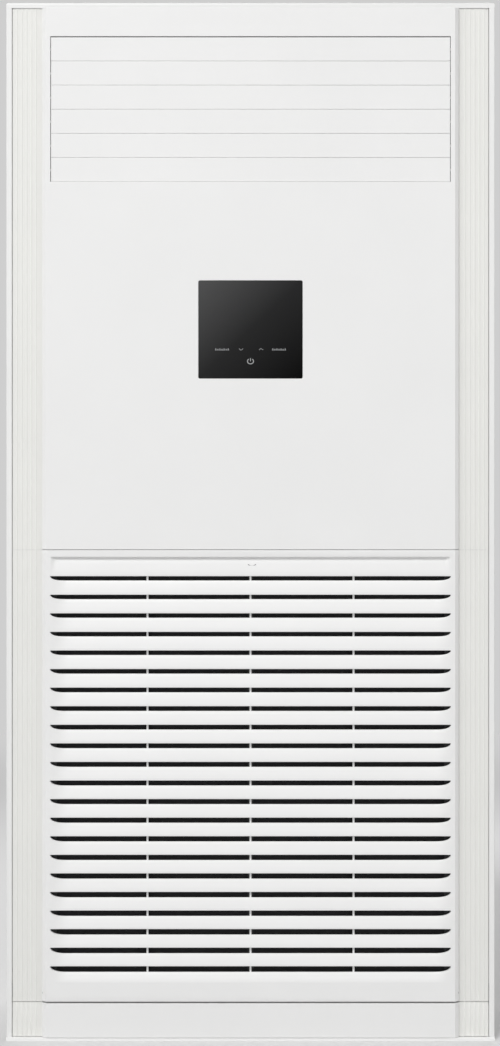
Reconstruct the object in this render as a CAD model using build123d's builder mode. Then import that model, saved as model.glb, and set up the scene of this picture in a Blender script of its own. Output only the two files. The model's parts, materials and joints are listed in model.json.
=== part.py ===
from build123d import *
from math import asin, cos, degrees, radians, sin
import os

os.makedirs("parts", exist_ok=True)

# Floor standing air conditioner, in millimetres. The origin is the centre of the
# footprint at floor level: +Z is up, the front faces -Y and +X is the viewer's right.

# ---- Driving dimensions -------------------------------------------------------------
WIDTH = 880.0
DEPTH = 420.0
HEIGHT = 1870.0
SHEET = 2.0                 # cabinet sheet steel
WALL = 3.0                  # moulded panels
SEAM = 1.0                  # gap between two front panels
TRIM_SEAM = 0.3             # gap between two corner strips
SEAM_TONGUE = 0.8           # lip that backs a seam from behind
FIT = 0.05                  # radial clearance of a running pin
LOOSE = 0.25                # radial clearance of a guided pin

CAP_HEIGHT = 10.0           # top cover
BASE_LIP = 6.0              # visible front edge of the base pan
PLINTH_SET = 1.0            # plinth behind the panel face
BASE_WALL = 45.0            # upstanding rim of the base pan
KICK_TOP = 68.6
KICK_GAP = 0.6              # under the kick panel
INTAKE_BOTTOM = 71.5
INTAKE_TOP = 883.5
CORNER = 65.0               # from the cabinet's side to the proud front panels
PANEL_DEPTH = 17.0          # front face to the back of the panels' side returns
PANEL_BEVEL = 7.0
TRIM_RECESS = 12.0          # ribbed corner strips lie this far behind the panels
TRIM_MARGIN = 11.0          # from the cabinet's side to the ribbed strips
TRIM_RIBS = 5
RIB_PITCH = 8.6
RIB_R = 3.2
RIB_RISE = 0.6              # how far a rib stands out of its strip
TRIM_DEPTH = 4.0
SIDE_LIP = 10.0             # width of the side sheets' front lip
LIP_RECESS = 10.0           # side lips lie this far behind the panels

OUTLET_MARGIN = 15.0        # from the panel's side to the air outlet
OUTLET_DROP = 324.0         # from the top of the cabinet to the outlet's lower edge
LOUVRES = 6
LOUVRE_PITCH = 43.4
LOUVRE_GAP = 0.3            # between two closed louvres
OUTLET_EASE_TOP = 0.85      # more room above the first louvre, whose edge swings up
OUTLET_EASE_LOW = 0.35      # and below the last one
LOUVRE_END_GAP = 0.9
LIP_LAP = 2.5               # a louvre's rear lip covers this much of the next louvre
LIP_THICK = 1.0
LOUVRE_THICK = 3.0
LOUVRE_SET = 2.0            # closed louvres lie this far behind the panel face
LOUVRE_PIVOT = 7.0          # pivot axis behind the panel face
PIN_R = 2.5
BUSH_R = 3.4
EAR_R = 4.4                 # round ends that carry the louvres' pins
CRANK_R = 12.0
CRANK_START = -37.5         # crank direction when the louvres are closed, degrees
CRANK_PIN_R = 2.0
LINK_THICK = 1.6
DUCT_MARGIN = 4.2           # duct wall outside the edge of the outlet
DUCT_WALL = 2.5
DUCT_DEPTH = 150.0          # panel face to the outlet duct's rear edge
MOTOR_R = 14.0              # small stepping motors
MOTOR_LENGTH = 18.0

VANES = 7
VANE_DEPTH = 50.0
VANE_THICK = 2.0
VANE_INSET = 59.0           # panel face to the vanes' pivots
VANE_CRANK = 20.0
VANE_LINK_GAP = 3.0

SLOTS = 22
SLOT_PITCH = 33.4
SLOT_TOP_Z = 836.5          # upper edge of the top slot
SLOT_TOP_HEIGHT = 7.8       # the slots grow taller towards the floor
SLOT_LOW_HEIGHT = 11.2
GRILLE_HEAD = 5.5           # grille's upper edge above one more slot pitch
GRILLE_FOOT = 18.0          # last blade below the last slot
SLOT_MARGIN = 14.5          # from the panel's side to the slots
SLOT_CURVE = 30.0           # length of the curve at each end of a slot
BLADE_SET = 4.5             # how far a blade's top edge is sunk
BLADE_SLAB = 8.0
BLADE_RIB = 3.4             # width of the three upright ribs

HINGE_INSET = 9.0           # panel face to the intake panel's hinge axis
HINGE_RISE = 15.0           # hinge axis above the intake panel's bottom edge
CATCH_MARGIN = 75.0         # magnets, from the panel's sides
HINGE_PIN_R = 3.0

DISPLAY_W = 187.0
DISPLAY_H = 176.0
DISPLAY_DROP = 590.0        # from the top of the cabinet to the display's centre
DISPLAY_CORNER = 3.0
GLASS_THICK = 3.0

FRAME_INSET = 26.0          # panel face to the inner front frame
FILTER_MARGIN = 13.0        # from the panel's side to the filter
FILTER_BOTTOM = 112.0
FILTER_DROP = 31.5          # from the intake panel's top to the filter's top
FILTER_INSET = 13.0         # panel face to the filter
FILTER_THICK = 5.0

FAN_X = 0.0
FAN_Z = 440.0
FAN_R = 200.0
FAN_WIDTH = 150.0
FAN_FRONT = -75.0           # y of the impeller's inlet rim
FAN_BLADES = 36
INLET_R = 165.0
SHAFT_R = 8.0
SCROLL_START = 222.0        # scroll radius at its cut-off
SCROLL_END = 335.0
SCROLL_CUTOFF = 50.0        # direction of the cut-off, degrees
SCROLL_TURN = 230.0         # spiral from the cut-off to the discharge wall, degrees
SCROLL_STEPS = 10
SCROLL_WALL = 2.5
SCROLL_MARGIN = 14.0        # housing clear of the impeller, front and back
FAN_MOTOR_R = 70.0
FAN_MOTOR_LENGTH = 80.0
MOTOR_PLATE = 220.0

DECK_Z = 886.0
COIL_THICK = 50.0
COIL_MARGIN = 65.0          # from the panel's side to the fin pack
COIL_HEADROOM = 100.0
COIL_INSET = 115.0          # panel face to the foot of the coil
COIL_BACK_GAP = 77.0        # head of the coil to the rear sheet
PAN_INSET = 45.0            # panel face to the drain pan
PAN_DEPTH = 125.0
COIL_RISE = 40.0            # foot of the coil above the fan deck
PAN_WALL = 2.5
PAN_RIM = 30.0
PAN_OVERHANG = 35.0         # drain pan beyond each end of the fin pack
DRAIN_R = 10.0
PIPE_MARGIN = 45.0          # refrigerant pipes, from the cabinet's side
PIPE_END = 210.0
PIPE_BEND = 30.0
PIPE_WALL = 1.0
PIPE_RISE = 90.0            # the pipes turn to the coil this far above the deck
PIPE_REACH = 28.0           # and end this far beside the fin pack
NUT_LENGTH = 25.0
SUCTION_BACK = 90.0         # pipes in front of the rear sheet
SUCTION_R = 9.5
LIQUID_BACK = 45.0
LIQUID_R = 6.35

BOX_GAP = 21.5              # electrical box beside the display
BOX_MARGIN = 65.0           # and from the panel's side
BOX_DROP = 135.0            # below and above the display's middle
BOX_RISE = 200.0
BOX_DEPTH = 72.0
BOX_SHEET = 1.5
LID_LAP = 12.0
BOARD_POST = 8.0
BOARD_THICK = 1.6
TERMINALS = 5
TERMINAL_TOP = 70.0         # above the floor of the box
TERMINAL_TALL = 40.0
TERMINAL_DEEP = 22.0
CAPACITOR_R = 20.0

ANCHOR_SPACING = 500.0      # two wall anchor holes in the rear sheet
ANCHOR_DROP = 30.0
ANCHOR_R = 4.5
BOLT_MARGIN_X = 90.0        # floor bolt holes, from the cabinet's sides
BOLT_MARGIN_Y = 60.0        # and from its front and back
BOLT_R = 6.0
PORT_R = 40.0               # pipe port in the rear sheet
PORT_MARGIN = 110.0         # pipe and cable ports, from the cabinet's sides
PORT_Z = 150.0
GLAND_R = 12.0
GLAND_Z = 150.0

# ---- Places worked out from the driving dimensions -----------------------------------
HALF = WIDTH / 2
FRONT = -DEPTH / 2
BACK = DEPTH / 2
PANEL_HALF = HALF - CORNER
TRIM_OUTER = HALF - TRIM_MARGIN
OUTLET_HALF = PANEL_HALF - OUTLET_MARGIN
OUTLET_BOTTOM = HEIGHT - OUTLET_DROP
DUCT_HALF = OUTLET_HALF + DUCT_MARGIN
DUCT_BACK = FRONT + DUCT_DEPTH
VANE_Y = FRONT + VANE_INSET
SLOT_HALF = PANEL_HALF - SLOT_MARGIN
BLADE_RIB_X = SLOT_HALF * 0.5146     # the outer upright ribs
HINGE_Y = FRONT + HINGE_INSET
CATCH_X = PANEL_HALF - CATCH_MARGIN
DISPLAY_Z = HEIGHT - DISPLAY_DROP
FRAME_Y = FRONT + FRAME_INSET
FILTER_HALF = PANEL_HALF - FILTER_MARGIN
FILTER_TOP = INTAKE_TOP - FILTER_DROP
FILTER_Y = FRONT + FILTER_INSET
COIL_LENGTH = 2 * (PANEL_HALF - COIL_MARGIN)
COIL_HEIGHT = OUTLET_BOTTOM - DECK_Z - COIL_HEADROOM
COIL_Y = FRONT + COIL_INSET
COIL_TILT = degrees(asin((BACK - COIL_BACK_GAP - COIL_Y) / COIL_HEIGHT))   # from upright
PAN_FRONT = FRONT + PAN_INSET
PAN_BACK = PAN_FRONT + PAN_DEPTH
PIPE_X = HALF - PIPE_MARGIN
SUCTION_Y = BACK - SUCTION_BACK
LIQUID_Y = BACK - LIQUID_BACK
BOLT_X = WIDTH - 2 * BOLT_MARGIN_X
BOLT_Y = DEPTH - 2 * BOLT_MARGIN_Y
PORT_X = HALF - PORT_MARGIN
GLAND_X = PORT_MARGIN - HALF
CAP_Z = HEIGHT - CAP_HEIGHT
TRIM_Y = FRONT + TRIM_RECESS
LIP_Y = FRONT + LIP_RECESS
PANEL_BACK = FRONT + PANEL_DEPTH
UPPER_BOTTOM = INTAKE_TOP + SEAM
UPPER_TOP = CAP_Z - SEAM
LOUVRES_TOP = OUTLET_BOTTOM + LOUVRES * LOUVRE_PITCH
OUTLET_TOP = LOUVRES_TOP + OUTLET_EASE_TOP
LOUVRE_Y = FRONT + LOUVRE_PIVOT
LOUVRE_HALF = OUTLET_HALF - LOUVRE_END_GAP
LOUVRE_TALL = LOUVRE_PITCH - LOUVRE_GAP
CRANK_Y = CRANK_R * cos(radians(CRANK_START))
CRANK_Z = CRANK_R * sin(radians(CRANK_START))
LOUVRE_Z = [LOUVRES_TOP - (i + 0.5) * LOUVRE_PITCH for i in range(LOUVRES)]
LINK_X = LOUVRE_HALF + 0.8
DRIVE_Y = LOUVRE_Y + 40.0
DRIVE_Z = (LOUVRE_Z[0] + LOUVRE_Z[-1]) / 2
DUCT_TOP = OUTLET_TOP + 1.3
DUCT_BOTTOM = OUTLET_BOTTOM - 1.3
VANE_PITCH = 2 * OUTLET_HALF / VANES
VANE_X = [(i - (VANES - 1) / 2) * VANE_PITCH for i in range(VANES)]
VANE_LOW = DUCT_BOTTOM + 14.0
VANE_HIGH = DUCT_TOP - 5.0
SLOT_GROWTH = (SLOT_LOW_HEIGHT - SLOT_TOP_HEIGHT) / (SLOTS - 1)
SLOT_EDGES = [(SLOT_TOP_Z - i * SLOT_PITCH,
               SLOT_TOP_Z - i * SLOT_PITCH - SLOT_TOP_HEIGHT - i * SLOT_GROWTH)
              for i in range(SLOTS)]     # upper and lower edge of each slot
HINGE_Z = INTAKE_BOTTOM + HINGE_RISE
FAN_BACK = FAN_FRONT + FAN_WIDTH
HOUSE_FRONT = FAN_FRONT - SCROLL_MARGIN
HOUSE_BACK = FAN_BACK + SCROLL_MARGIN


# ---- Helpers ---------------------------------------------------------------------------
def block(x0, x1, y0, y1, z0, z1, mode=Mode.ADD):
    """A square-cornered block between two corners."""
    with Locations(((x0 + x1) / 2, (y0 + y1) / 2, (z0 + z1) / 2)):
        Box(abs(x1 - x0), abs(y1 - y0), abs(z1 - z0), mode=mode)


def rod(start, direction, radius, length, mode=Mode.ADD):
    """A round bar from a point along a direction."""
    with BuildSketch(Plane(origin=start, z_dir=direction)) as section:
        Circle(radius)
    extrude(section.sketch, amount=length, mode=mode)


def save(piece, name):
    piece.part.label = name
    export_step(piece.part, f"parts/{name}.step")


# ---- Cabinet ---------------------------------------------------------------------------
def make_base_pan():
    with BuildPart() as pan:
        block(-HALF, HALF, LIP_Y, BACK, 0, SHEET)
        # Plinth that shows below the kick panel: a front edge and a shelf back to the rim
        plinth = FRONT + PLINTH_SET
        block(-HALF, HALF, plinth, plinth + SHEET, 0, BASE_LIP)
        block(-HALF, HALF, plinth, LIP_Y + SHEET, BASE_LIP - SHEET, BASE_LIP)
        block(-HALF, HALF, LIP_Y, LIP_Y + SHEET, 0, BASE_LIP)
        inner = HALF - SHEET
        for side in (-1, 1):
            block(side * inner, side * (inner - SHEET), FRAME_Y, BACK - SHEET, 0, BASE_WALL)
        block(-inner, inner, BACK - 2 * SHEET, BACK - SHEET, 0, BASE_WALL)
        block(-inner, inner, FRAME_Y, FRAME_Y + SHEET, 0, BASE_WALL)
        with BuildSketch(Plane.XY):
            with GridLocations(BOLT_X, BOLT_Y, 2, 2):
                Circle(BOLT_R)
        extrude(amount=SHEET, mode=Mode.SUBTRACT)
    save(pan, "base_pan")


def make_side_panel(name, side):
    """Side sheet with a front lip folded inwards and a rear lip."""
    with BuildPart() as panel:
        low, high = BASE_LIP, CAP_Z
        block(side * HALF, side * (HALF - SHEET), LIP_Y, BACK - SHEET, low, high)
        block(side * HALF, side * (HALF - SIDE_LIP), LIP_Y, LIP_Y + SHEET, low, high)
        block(side * HALF, side * (HALF - 18), BACK - 2 * SHEET, BACK - SHEET, BASE_WALL, high)
        # The lip steps back behind the ribbed strip, so the groove between them has a floor.
        # It stops short of the intake panel's hinge, which swings through there.
        inner = HALF - SIDE_LIP
        floor = TRIM_Y + TRIM_DEPTH + 0.3
        for base, tip in ((low + 2, KICK_TOP - 2), (INTAKE_BOTTOM + 30, high)):
            block(side * inner, side * (inner + 1.5), LIP_Y, floor + 1.5, base, tip)
            block(side * (inner - 6), side * (inner + 1.5), floor, floor + 1.5, base, tip)
        edges = panel.edges().filter_by(Axis.Z).sort_by(Axis.Y)[:4]
        fillet(edges.sort_by(Axis.X)[-1 if side > 0 else 0], 1.5)
    save(panel, name)


def make_rear_panel():
    with BuildPart() as panel:
        block(-HALF, HALF, BACK - SHEET, BACK, SHEET, CAP_Z)
        with BuildSketch(Plane.XZ.offset(-BACK)):
            with Locations((0, CAP_Z - ANCHOR_DROP)):
                with GridLocations(ANCHOR_SPACING, 1, 2, 1):
                    Circle(ANCHOR_R)
            with Locations((PORT_X, PORT_Z)):
                Circle(PORT_R)
            with Locations((GLAND_X, GLAND_Z)):
                Circle(GLAND_R)
        extrude(amount=2 * SHEET, mode=Mode.SUBTRACT)
        # Three pressed stiffening grooves across the sheet
        for level in (0.3, 0.5, 0.7):
            z = level * HEIGHT
            block(-HALF + 60, HALF - 60, BACK - 0.8, BACK, z - 6, z + 6, Mode.SUBTRACT)
    save(panel, "rear_panel")


def make_top_cover():
    with BuildPart() as cover:
        block(-HALF, HALF, LIP_Y, BACK, CAP_Z, HEIGHT)
        fillet(cover.edges().group_by(Axis.Z)[-1], 4)
        inset = SHEET + 1
        block(-HALF + inset, HALF - inset, LIP_Y + inset, BACK - inset,
              CAP_Z, HEIGHT - inset, Mode.SUBTRACT)
    save(cover, "top_cover")


def make_front_frame():
    """Inner sheet frame that carries the front panels."""
    with BuildPart() as frame:
        edge = HALF - SHEET
        block(-edge, edge, FRAME_Y, FRAME_Y + SHEET, BASE_WALL, CAP_Z)
        margin = 15.0
        block(15 - FILTER_HALF, FILTER_HALF - 15, FRAME_Y, FRAME_Y + SHEET, FILTER_BOTTOM,
              FILTER_TOP, Mode.SUBTRACT)
        block(-DUCT_HALF - DUCT_WALL, DUCT_HALF + DUCT_WALL, FRAME_Y, FRAME_Y + SHEET,
              DUCT_BOTTOM - DUCT_WALL, DUCT_TOP + DUCT_WALL, Mode.SUBTRACT)
        block(-DISPLAY_W / 2 + margin, DISPLAY_W / 2 - margin, FRAME_Y, FRAME_Y + SHEET,
              DISPLAY_Z - DISPLAY_H / 2 + margin, DISPLAY_Z + DISPLAY_H / 2 - margin,
              Mode.SUBTRACT)
    save(frame, "front_frame")


# ---- Front panels ------------------------------------------------------------------------
def panel_outline(inset):
    """Points of a panel's bevelled channel section, seen from above, set in by inset."""
    corner = inset * 0.4142
    edge = PANEL_HALF - inset
    slope_y = FRONT + PANEL_BEVEL + corner
    slope_x = PANEL_HALF - PANEL_BEVEL - corner
    face = FRONT + inset
    return [(-edge, PANEL_BACK), (-edge, slope_y), (-slope_x, face),
            (slope_x, face), (edge, slope_y), (edge, PANEL_BACK)]


def panel_shell(low, high):
    """Open-backed moulding with bevelled sides, between two heights."""
    with BuildSketch(Plane.XY.offset(low)) as outside:
        Polygon(*panel_outline(0), align=None)
    extrude(outside.sketch, amount=high - low)
    with BuildSketch(Plane.XY.offset(low + WALL)) as inside:
        Polygon(*panel_outline(WALL), align=None)
    extrude(inside.sketch, amount=high - low - 2 * WALL, mode=Mode.SUBTRACT)


def standoffs(half, depth_from, heights, size=8.0):
    """Bosses that carry a front panel on the inner frame."""
    for side in (-1, 1):
        for z in heights:
            block(side * half - size, side * half + size, depth_from, FRAME_Y,
                  z - size, z + size)


def make_upper_panel():
    with BuildPart() as panel:
        panel_shell(UPPER_BOTTOM, UPPER_TOP)
        block(-OUTLET_HALF, OUTLET_HALF, FRONT, FRONT + WALL, OUTLET_BOTTOM - OUTLET_EASE_LOW,
              OUTLET_TOP, Mode.SUBTRACT)
        half_w, half_h = DISPLAY_W / 2 + 0.3, DISPLAY_H / 2 + 0.3
        with BuildSketch(Plane.XZ.offset(-FRONT)):
            with Locations((0, DISPLAY_Z)):
                RectangleRounded(2 * half_w, 2 * half_h, DISPLAY_CORNER)
        extrude(amount=-WALL, mode=Mode.SUBTRACT)
        heights = (UPPER_BOTTOM + 20, DISPLAY_Z, OUTLET_BOTTOM - 40, UPPER_TOP - 14)
        standoffs(PANEL_HALF - 40, FRONT + WALL, heights)
        # Tongues behind the seams above and below the panel
        edge = PANEL_HALF - PANEL_BEVEL
        for base, tip in ((UPPER_BOTTOM + 1, UPPER_BOTTOM - SEAM_TONGUE),
                          (UPPER_TOP - 1, UPPER_TOP + SEAM_TONGUE)):
            block(-edge, edge, FRONT + WALL, FRONT + WALL + 2, base, tip)
    save(panel, "upper_panel")


def slot_outline(top, bottom):
    """Straight upper edge and a lower edge that curves up to it at both ends."""
    flat, height = SLOT_HALF - SLOT_CURVE, top - bottom
    with BuildLine() as outline:
        Line((-SLOT_HALF, top), (SLOT_HALF, top))
        EllipticalCenterArc((-flat, top), SLOT_CURVE, height, 180, arc_size=90)
        Line((-flat, bottom), (flat, bottom))
        EllipticalCenterArc((flat, top), SLOT_CURVE, height, 270, arc_size=90)
    make_face(outline.edges())


def hollow_outline(depth):
    """A blade's slope seen from above: its ends sink from the panel face in an S-curve."""
    outside, flat = FRONT - 0.5, SLOT_HALF - SLOT_CURVE
    with BuildLine() as outline:
        Polyline((-SLOT_HALF, FRONT), (-SLOT_HALF, outside), (SLOT_HALF, outside),
                 (SLOT_HALF, FRONT))
        Spline((SLOT_HALF, FRONT), (flat, FRONT + depth), tangents=((-1, 0), (-1, 0)))
        Line((flat, FRONT + depth), (-flat, FRONT + depth))
        Spline((-flat, FRONT + depth), (-SLOT_HALF, FRONT), tangents=((-1, 0), (-1, 0)))
    make_face(outline.edges())


def blade_hollow(top, bottom):
    """The slope of a blade's face: deep at its upper edge, level with the panel below."""
    with BuildSketch(Plane.XY.offset(top)) as upper:
        hollow_outline(BLADE_SET)
    with BuildSketch(Plane.XY.offset(bottom)) as lower:
        hollow_outline(BLADE_SET / 100)
    loft([upper.sketch, lower.sketch], ruled=True, mode=Mode.SUBTRACT)


def make_intake_panel():
    grille_top = SLOT_TOP_Z + SLOT_PITCH - SLOT_TOP_HEIGHT / 2 + GRILLE_HEAD
    grille_low = SLOT_EDGES[-1][1] - GRILLE_FOOT
    slab_back = FRONT + BLADE_SLAB
    tops = [grille_top] + [lower for upper, lower in SLOT_EDGES]
    bottoms = [upper for upper, lower in SLOT_EDGES] + [grille_low]
    with BuildPart() as panel:
        panel_shell(INTAKE_BOTTOM, INTAKE_TOP)
        block(-SLOT_HALF - 5, SLOT_HALF + 5, FRONT, slab_back, grille_low, grille_top)
        # Slots first, from behind the slab to in front of the face
        with BuildSketch(Plane.XZ.offset(-slab_back - 1)):
            for upper, lower in SLOT_EDGES:
                slot_outline(upper, lower)
        extrude(amount=BLADE_SLAB + 2, mode=Mode.SUBTRACT)
        for top, bottom in zip(tops, bottoms):
            blade_hollow(top, bottom)
        with BuildSketch(Plane.YZ.offset(3 - SLOT_HALF)):
            for top, bottom in zip(tops[1:-1], bottoms[1:-1]):
                Polygon((slab_back, top), (slab_back, bottom),
                        (slab_back - BLADE_SET, bottom), align=None)
        extrude(amount=2 * (SLOT_HALF - 3), mode=Mode.SUBTRACT)
        for x in (-BLADE_RIB_X, 0, BLADE_RIB_X):
            block(x - BLADE_RIB / 2, x + BLADE_RIB / 2, FRONT + 6, FRONT + 12,
                  grille_low, grille_top)
        # Rails and a ledge that hold the filter
        back = FILTER_Y + FILTER_THICK
        for side in (-1, 1):
            block(side * (FILTER_HALF + 1), side * (FILTER_HALF + 3), slab_back, back + 2,
                  FILTER_BOTTOM - 2, FILTER_TOP)
            block(side * (FILTER_HALF - 5), side * (FILTER_HALF + 3), back + 0.4, back + 2,
                  FILTER_BOTTOM - 2, FILTER_TOP)
        block(-FILTER_HALF - 3, FILTER_HALF + 3, slab_back - 0.5, back + 2,
              FILTER_BOTTOM - 2.3, FILTER_BOTTOM - 0.3)
        # Hinge holes in the side returns and bosses for the strike plates
        with BuildSketch(Plane.YZ.offset(-PANEL_HALF - 1)):
            with Locations((HINGE_Y, HINGE_Z)):
                Circle(HINGE_PIN_R + FIT)
        extrude(amount=2 * PANEL_HALF + 2, mode=Mode.SUBTRACT)
        for side in (-1, 1):
            block(side * (CATCH_X - 10), side * (CATCH_X + 10), FRONT + WALL, PANEL_BACK,
                  INTAKE_TOP - WALL - 10, INTAKE_TOP - WALL)
    save(panel, "intake_panel")


def make_kick_panel():
    with BuildPart() as panel:
        panel_shell(BASE_LIP + KICK_GAP, KICK_TOP)
        for side in (-1, 1):
            with BuildSketch(Plane.XY.offset(BASE_LIP + KICK_GAP)):
                trim_section(side)
            extrude(amount=KICK_TOP - BASE_LIP - KICK_GAP)
        standoffs(PANEL_HALF - 40, FRONT + WALL, [BASE_WALL + 12], 6)
    save(panel, "kick_panel")


def trim_section(side):
    """Section of a corner strip seen from above: a plate with round ribs on its face."""
    middle = side * (PANEL_HALF + TRIM_OUTER) / 2
    with Locations((middle, TRIM_Y + TRIM_DEPTH / 2)):
        Rectangle(TRIM_OUTER - PANEL_HALF, TRIM_DEPTH)
    for i in range(TRIM_RIBS):
        with Locations((side * (TRIM_OUTER - 8 - i * RIB_PITCH), TRIM_Y + RIB_R - RIB_RISE)):
            Circle(RIB_R)
    with Locations((middle, TRIM_Y + TRIM_DEPTH + RIB_R)):
        Rectangle(TRIM_OUTER - PANEL_HALF, 2 * RIB_R, mode=Mode.SUBTRACT)


def make_trim(name, side, low, high, fixed):
    """Ribbed corner strip beside a front panel."""
    depth = TRIM_DEPTH
    with BuildPart() as trim:
        with BuildSketch(Plane.XY.offset(low)):
            trim_section(side)
        extrude(amount=high - low)
        if fixed:
            centre = side * (PANEL_HALF + TRIM_OUTER) / 2
            for z in (low + 14, high - 14):
                block(centre - 8, centre + 8, TRIM_Y + depth, FRAME_Y, z - 6, z + 6)
    save(trim, name)


def make_display():
    with BuildPart() as glass:
        with BuildSketch(Plane.XZ.offset(-FRONT)):
            with Locations((0, DISPLAY_Z)):
                RectangleRounded(DISPLAY_W, DISPLAY_H, DISPLAY_CORNER)
        extrude(amount=-GLASS_THICK)
    save(glass, "display_glass")
    back = FRONT + GLASS_THICK
    with BuildPart() as bezel:
        with BuildSketch(Plane.XZ.offset(-back)):
            with Locations((0, DISPLAY_Z)):
                RectangleRounded(DISPLAY_W + 16, DISPLAY_H + 16, DISPLAY_CORNER + 5)
                Rectangle(DISPLAY_W - 16, DISPLAY_H - 16, mode=Mode.SUBTRACT)
        extrude(amount=-3)
        for side in (-1, 1):
            for z in (DISPLAY_Z - DISPLAY_H / 3, DISPLAY_Z + DISPLAY_H / 3):
                block(side * (DISPLAY_W / 2 - 5.5), side * (DISPLAY_W / 2 + 4.5), back + 3,
                      FRAME_Y, z - 5, z + 5)
    save(bezel, "display_bezel")
    with BuildPart() as board:
        block(-DISPLAY_W / 2 - 2, DISPLAY_W / 2 + 2, back + 3, back + 4.6,
              DISPLAY_Z - 50, DISPLAY_Z + 50)
        for i in range(4):
            x = (i - 1.5) * DISPLAY_W * 0.214
            block(x - 8, x + 8, back + 4.6, back + 7, DISPLAY_Z - 40, DISPLAY_Z - 28)
    save(board, "display_board")


# ---- Air outlet ----------------------------------------------------------------------------
def make_louvre(number):
    z = LOUVRE_Z[number]
    face = FRONT + LOUVRE_SET
    half = LOUVRE_TALL / 2
    ear = 3.0
    with BuildPart() as louvre:
        block(-LOUVRE_HALF, LOUVRE_HALF, face, face + LOUVRE_THICK, z - half, z + half)
        fillet(louvre.edges().filter_by(Axis.X), 0.9)
        # Lip at the lower edge that lies behind the next louvre and closes the gap
        last = number == LOUVRES - 1
        reach = LOUVRE_GAP / 2 + 0.5 + OUTLET_EASE_LOW if last else LOUVRE_GAP + LIP_LAP
        back, span = face + LOUVRE_THICK, LOUVRE_HALF - ear - 1
        block(-span, span, back - 0.5, back + LIP_THICK + 0.4, z - half + 1, z - half + 5)
        block(-span, span, back + 0.4, back + 0.4 + LIP_THICK, z - half - reach, z - half + 2)
        for side in (-1, 1):
            inner = (side * (LOUVRE_HALF - ear), LOUVRE_Y, z)
            rod(inner, (side, 0, 0), EAR_R, ear)
            rod(inner, (side, 0, 0), PIN_R, DUCT_HALF + 3.2 - LOUVRE_HALF + ear)
        # Crank arm and pin at the right end
        with BuildSketch(Plane.YZ.offset(LOUVRE_HALF - ear)):
            with Locations((LOUVRE_Y + CRANK_Y / 2, z + CRANK_Z / 2)):
                SlotCenterToCenter(CRANK_R, 7, rotation=CRANK_START)
        extrude(amount=ear)
        crank = (LOUVRE_HALF - ear, LOUVRE_Y + CRANK_Y, z + CRANK_Z)
        rod(crank, (1, 0, 0), CRANK_PIN_R, LINK_X + LINK_THICK + 0.2 - LOUVRE_HALF + ear)
    save(louvre, f"louvre_{number + 1}")


def make_louvre_link():
    """Upright bar that ties the louvres' cranks together, with an arm to the motor crank."""
    bar_y = LOUVRE_Y + CRANK_Y
    drive_y, drive_z = DRIVE_Y + CRANK_Y, DRIVE_Z + CRANK_Z
    with BuildPart() as link:
        with BuildSketch(Plane.YZ.offset(LINK_X)):
            with Locations((bar_y, (LOUVRE_Z[0] + LOUVRE_Z[-1]) / 2 + CRANK_Z)):
                SlotCenterToCenter(LOUVRE_Z[0] - LOUVRE_Z[-1], 7, rotation=90)
            with Locations(((bar_y + drive_y) / 2, drive_z)):
                SlotCenterToCenter(drive_y - bar_y, 7)
            for i, z in enumerate(LOUVRE_Z):
                with Locations((bar_y, z + CRANK_Z)):
                    Circle(CRANK_PIN_R + (FIT if i == 0 else LOOSE), mode=Mode.SUBTRACT)
            with Locations((drive_y, drive_z)):
                Circle(CRANK_PIN_R + LOOSE, mode=Mode.SUBTRACT)
        extrude(amount=LINK_THICK)
    save(link, "louvre_link")


def make_louvre_drive():
    plate_x = LINK_X + LINK_THICK + 0.3
    with BuildPart() as crank:
        with BuildSketch(Plane.YZ.offset(plate_x)):
            with Locations((DRIVE_Y + CRANK_Y / 2, DRIVE_Z + CRANK_Z / 2)):
                SlotCenterToCenter(CRANK_R, 8, rotation=CRANK_START)
        extrude(amount=2)
        rod((plate_x, DRIVE_Y, DRIVE_Z), (1, 0, 0), PIN_R, DUCT_HALF + DUCT_WALL + 6 - plate_x)
        rod((plate_x + 1, DRIVE_Y + CRANK_Y, DRIVE_Z + CRANK_Z), (-1, 0, 0), CRANK_PIN_R,
            LINK_THICK + 1.6)
    save(crank, "louvre_crank")
    start = DUCT_HALF + DUCT_WALL
    with BuildPart() as motor:
        rod((start, DRIVE_Y, DRIVE_Z), (1, 0, 0), MOTOR_R, MOTOR_LENGTH)
        rod((start, DRIVE_Y, DRIVE_Z), (1, 0, 0), PIN_R + FIT, 7, Mode.SUBTRACT)
        with BuildSketch(Plane.YZ.offset(start)):
            with Locations((DRIVE_Y, DRIVE_Z)):
                SlotOverall(44, 9, rotation=90)
                Circle(PIN_R + FIT, mode=Mode.SUBTRACT)
        extrude(amount=1.2)
    save(motor, "louvre_motor")


def make_louvre_bushes():
    with BuildPart() as bushes:
        for side in (-1, 1):
            for z in LOUVRE_Z:
                start = (side * (DUCT_HALF - 0.4), LOUVRE_Y, z)
                rod(start, (side, 0, 0), BUSH_R, DUCT_WALL + 0.4)
                flange = (side * (DUCT_HALF + DUCT_WALL), LOUVRE_Y, z)
                rod(flange, (side, 0, 0), BUSH_R, 0.5)
                rod(start, (side, 0, 0), PIN_R + FIT, 6, Mode.SUBTRACT)
    save(bushes, "louvre_bushes")


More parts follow.
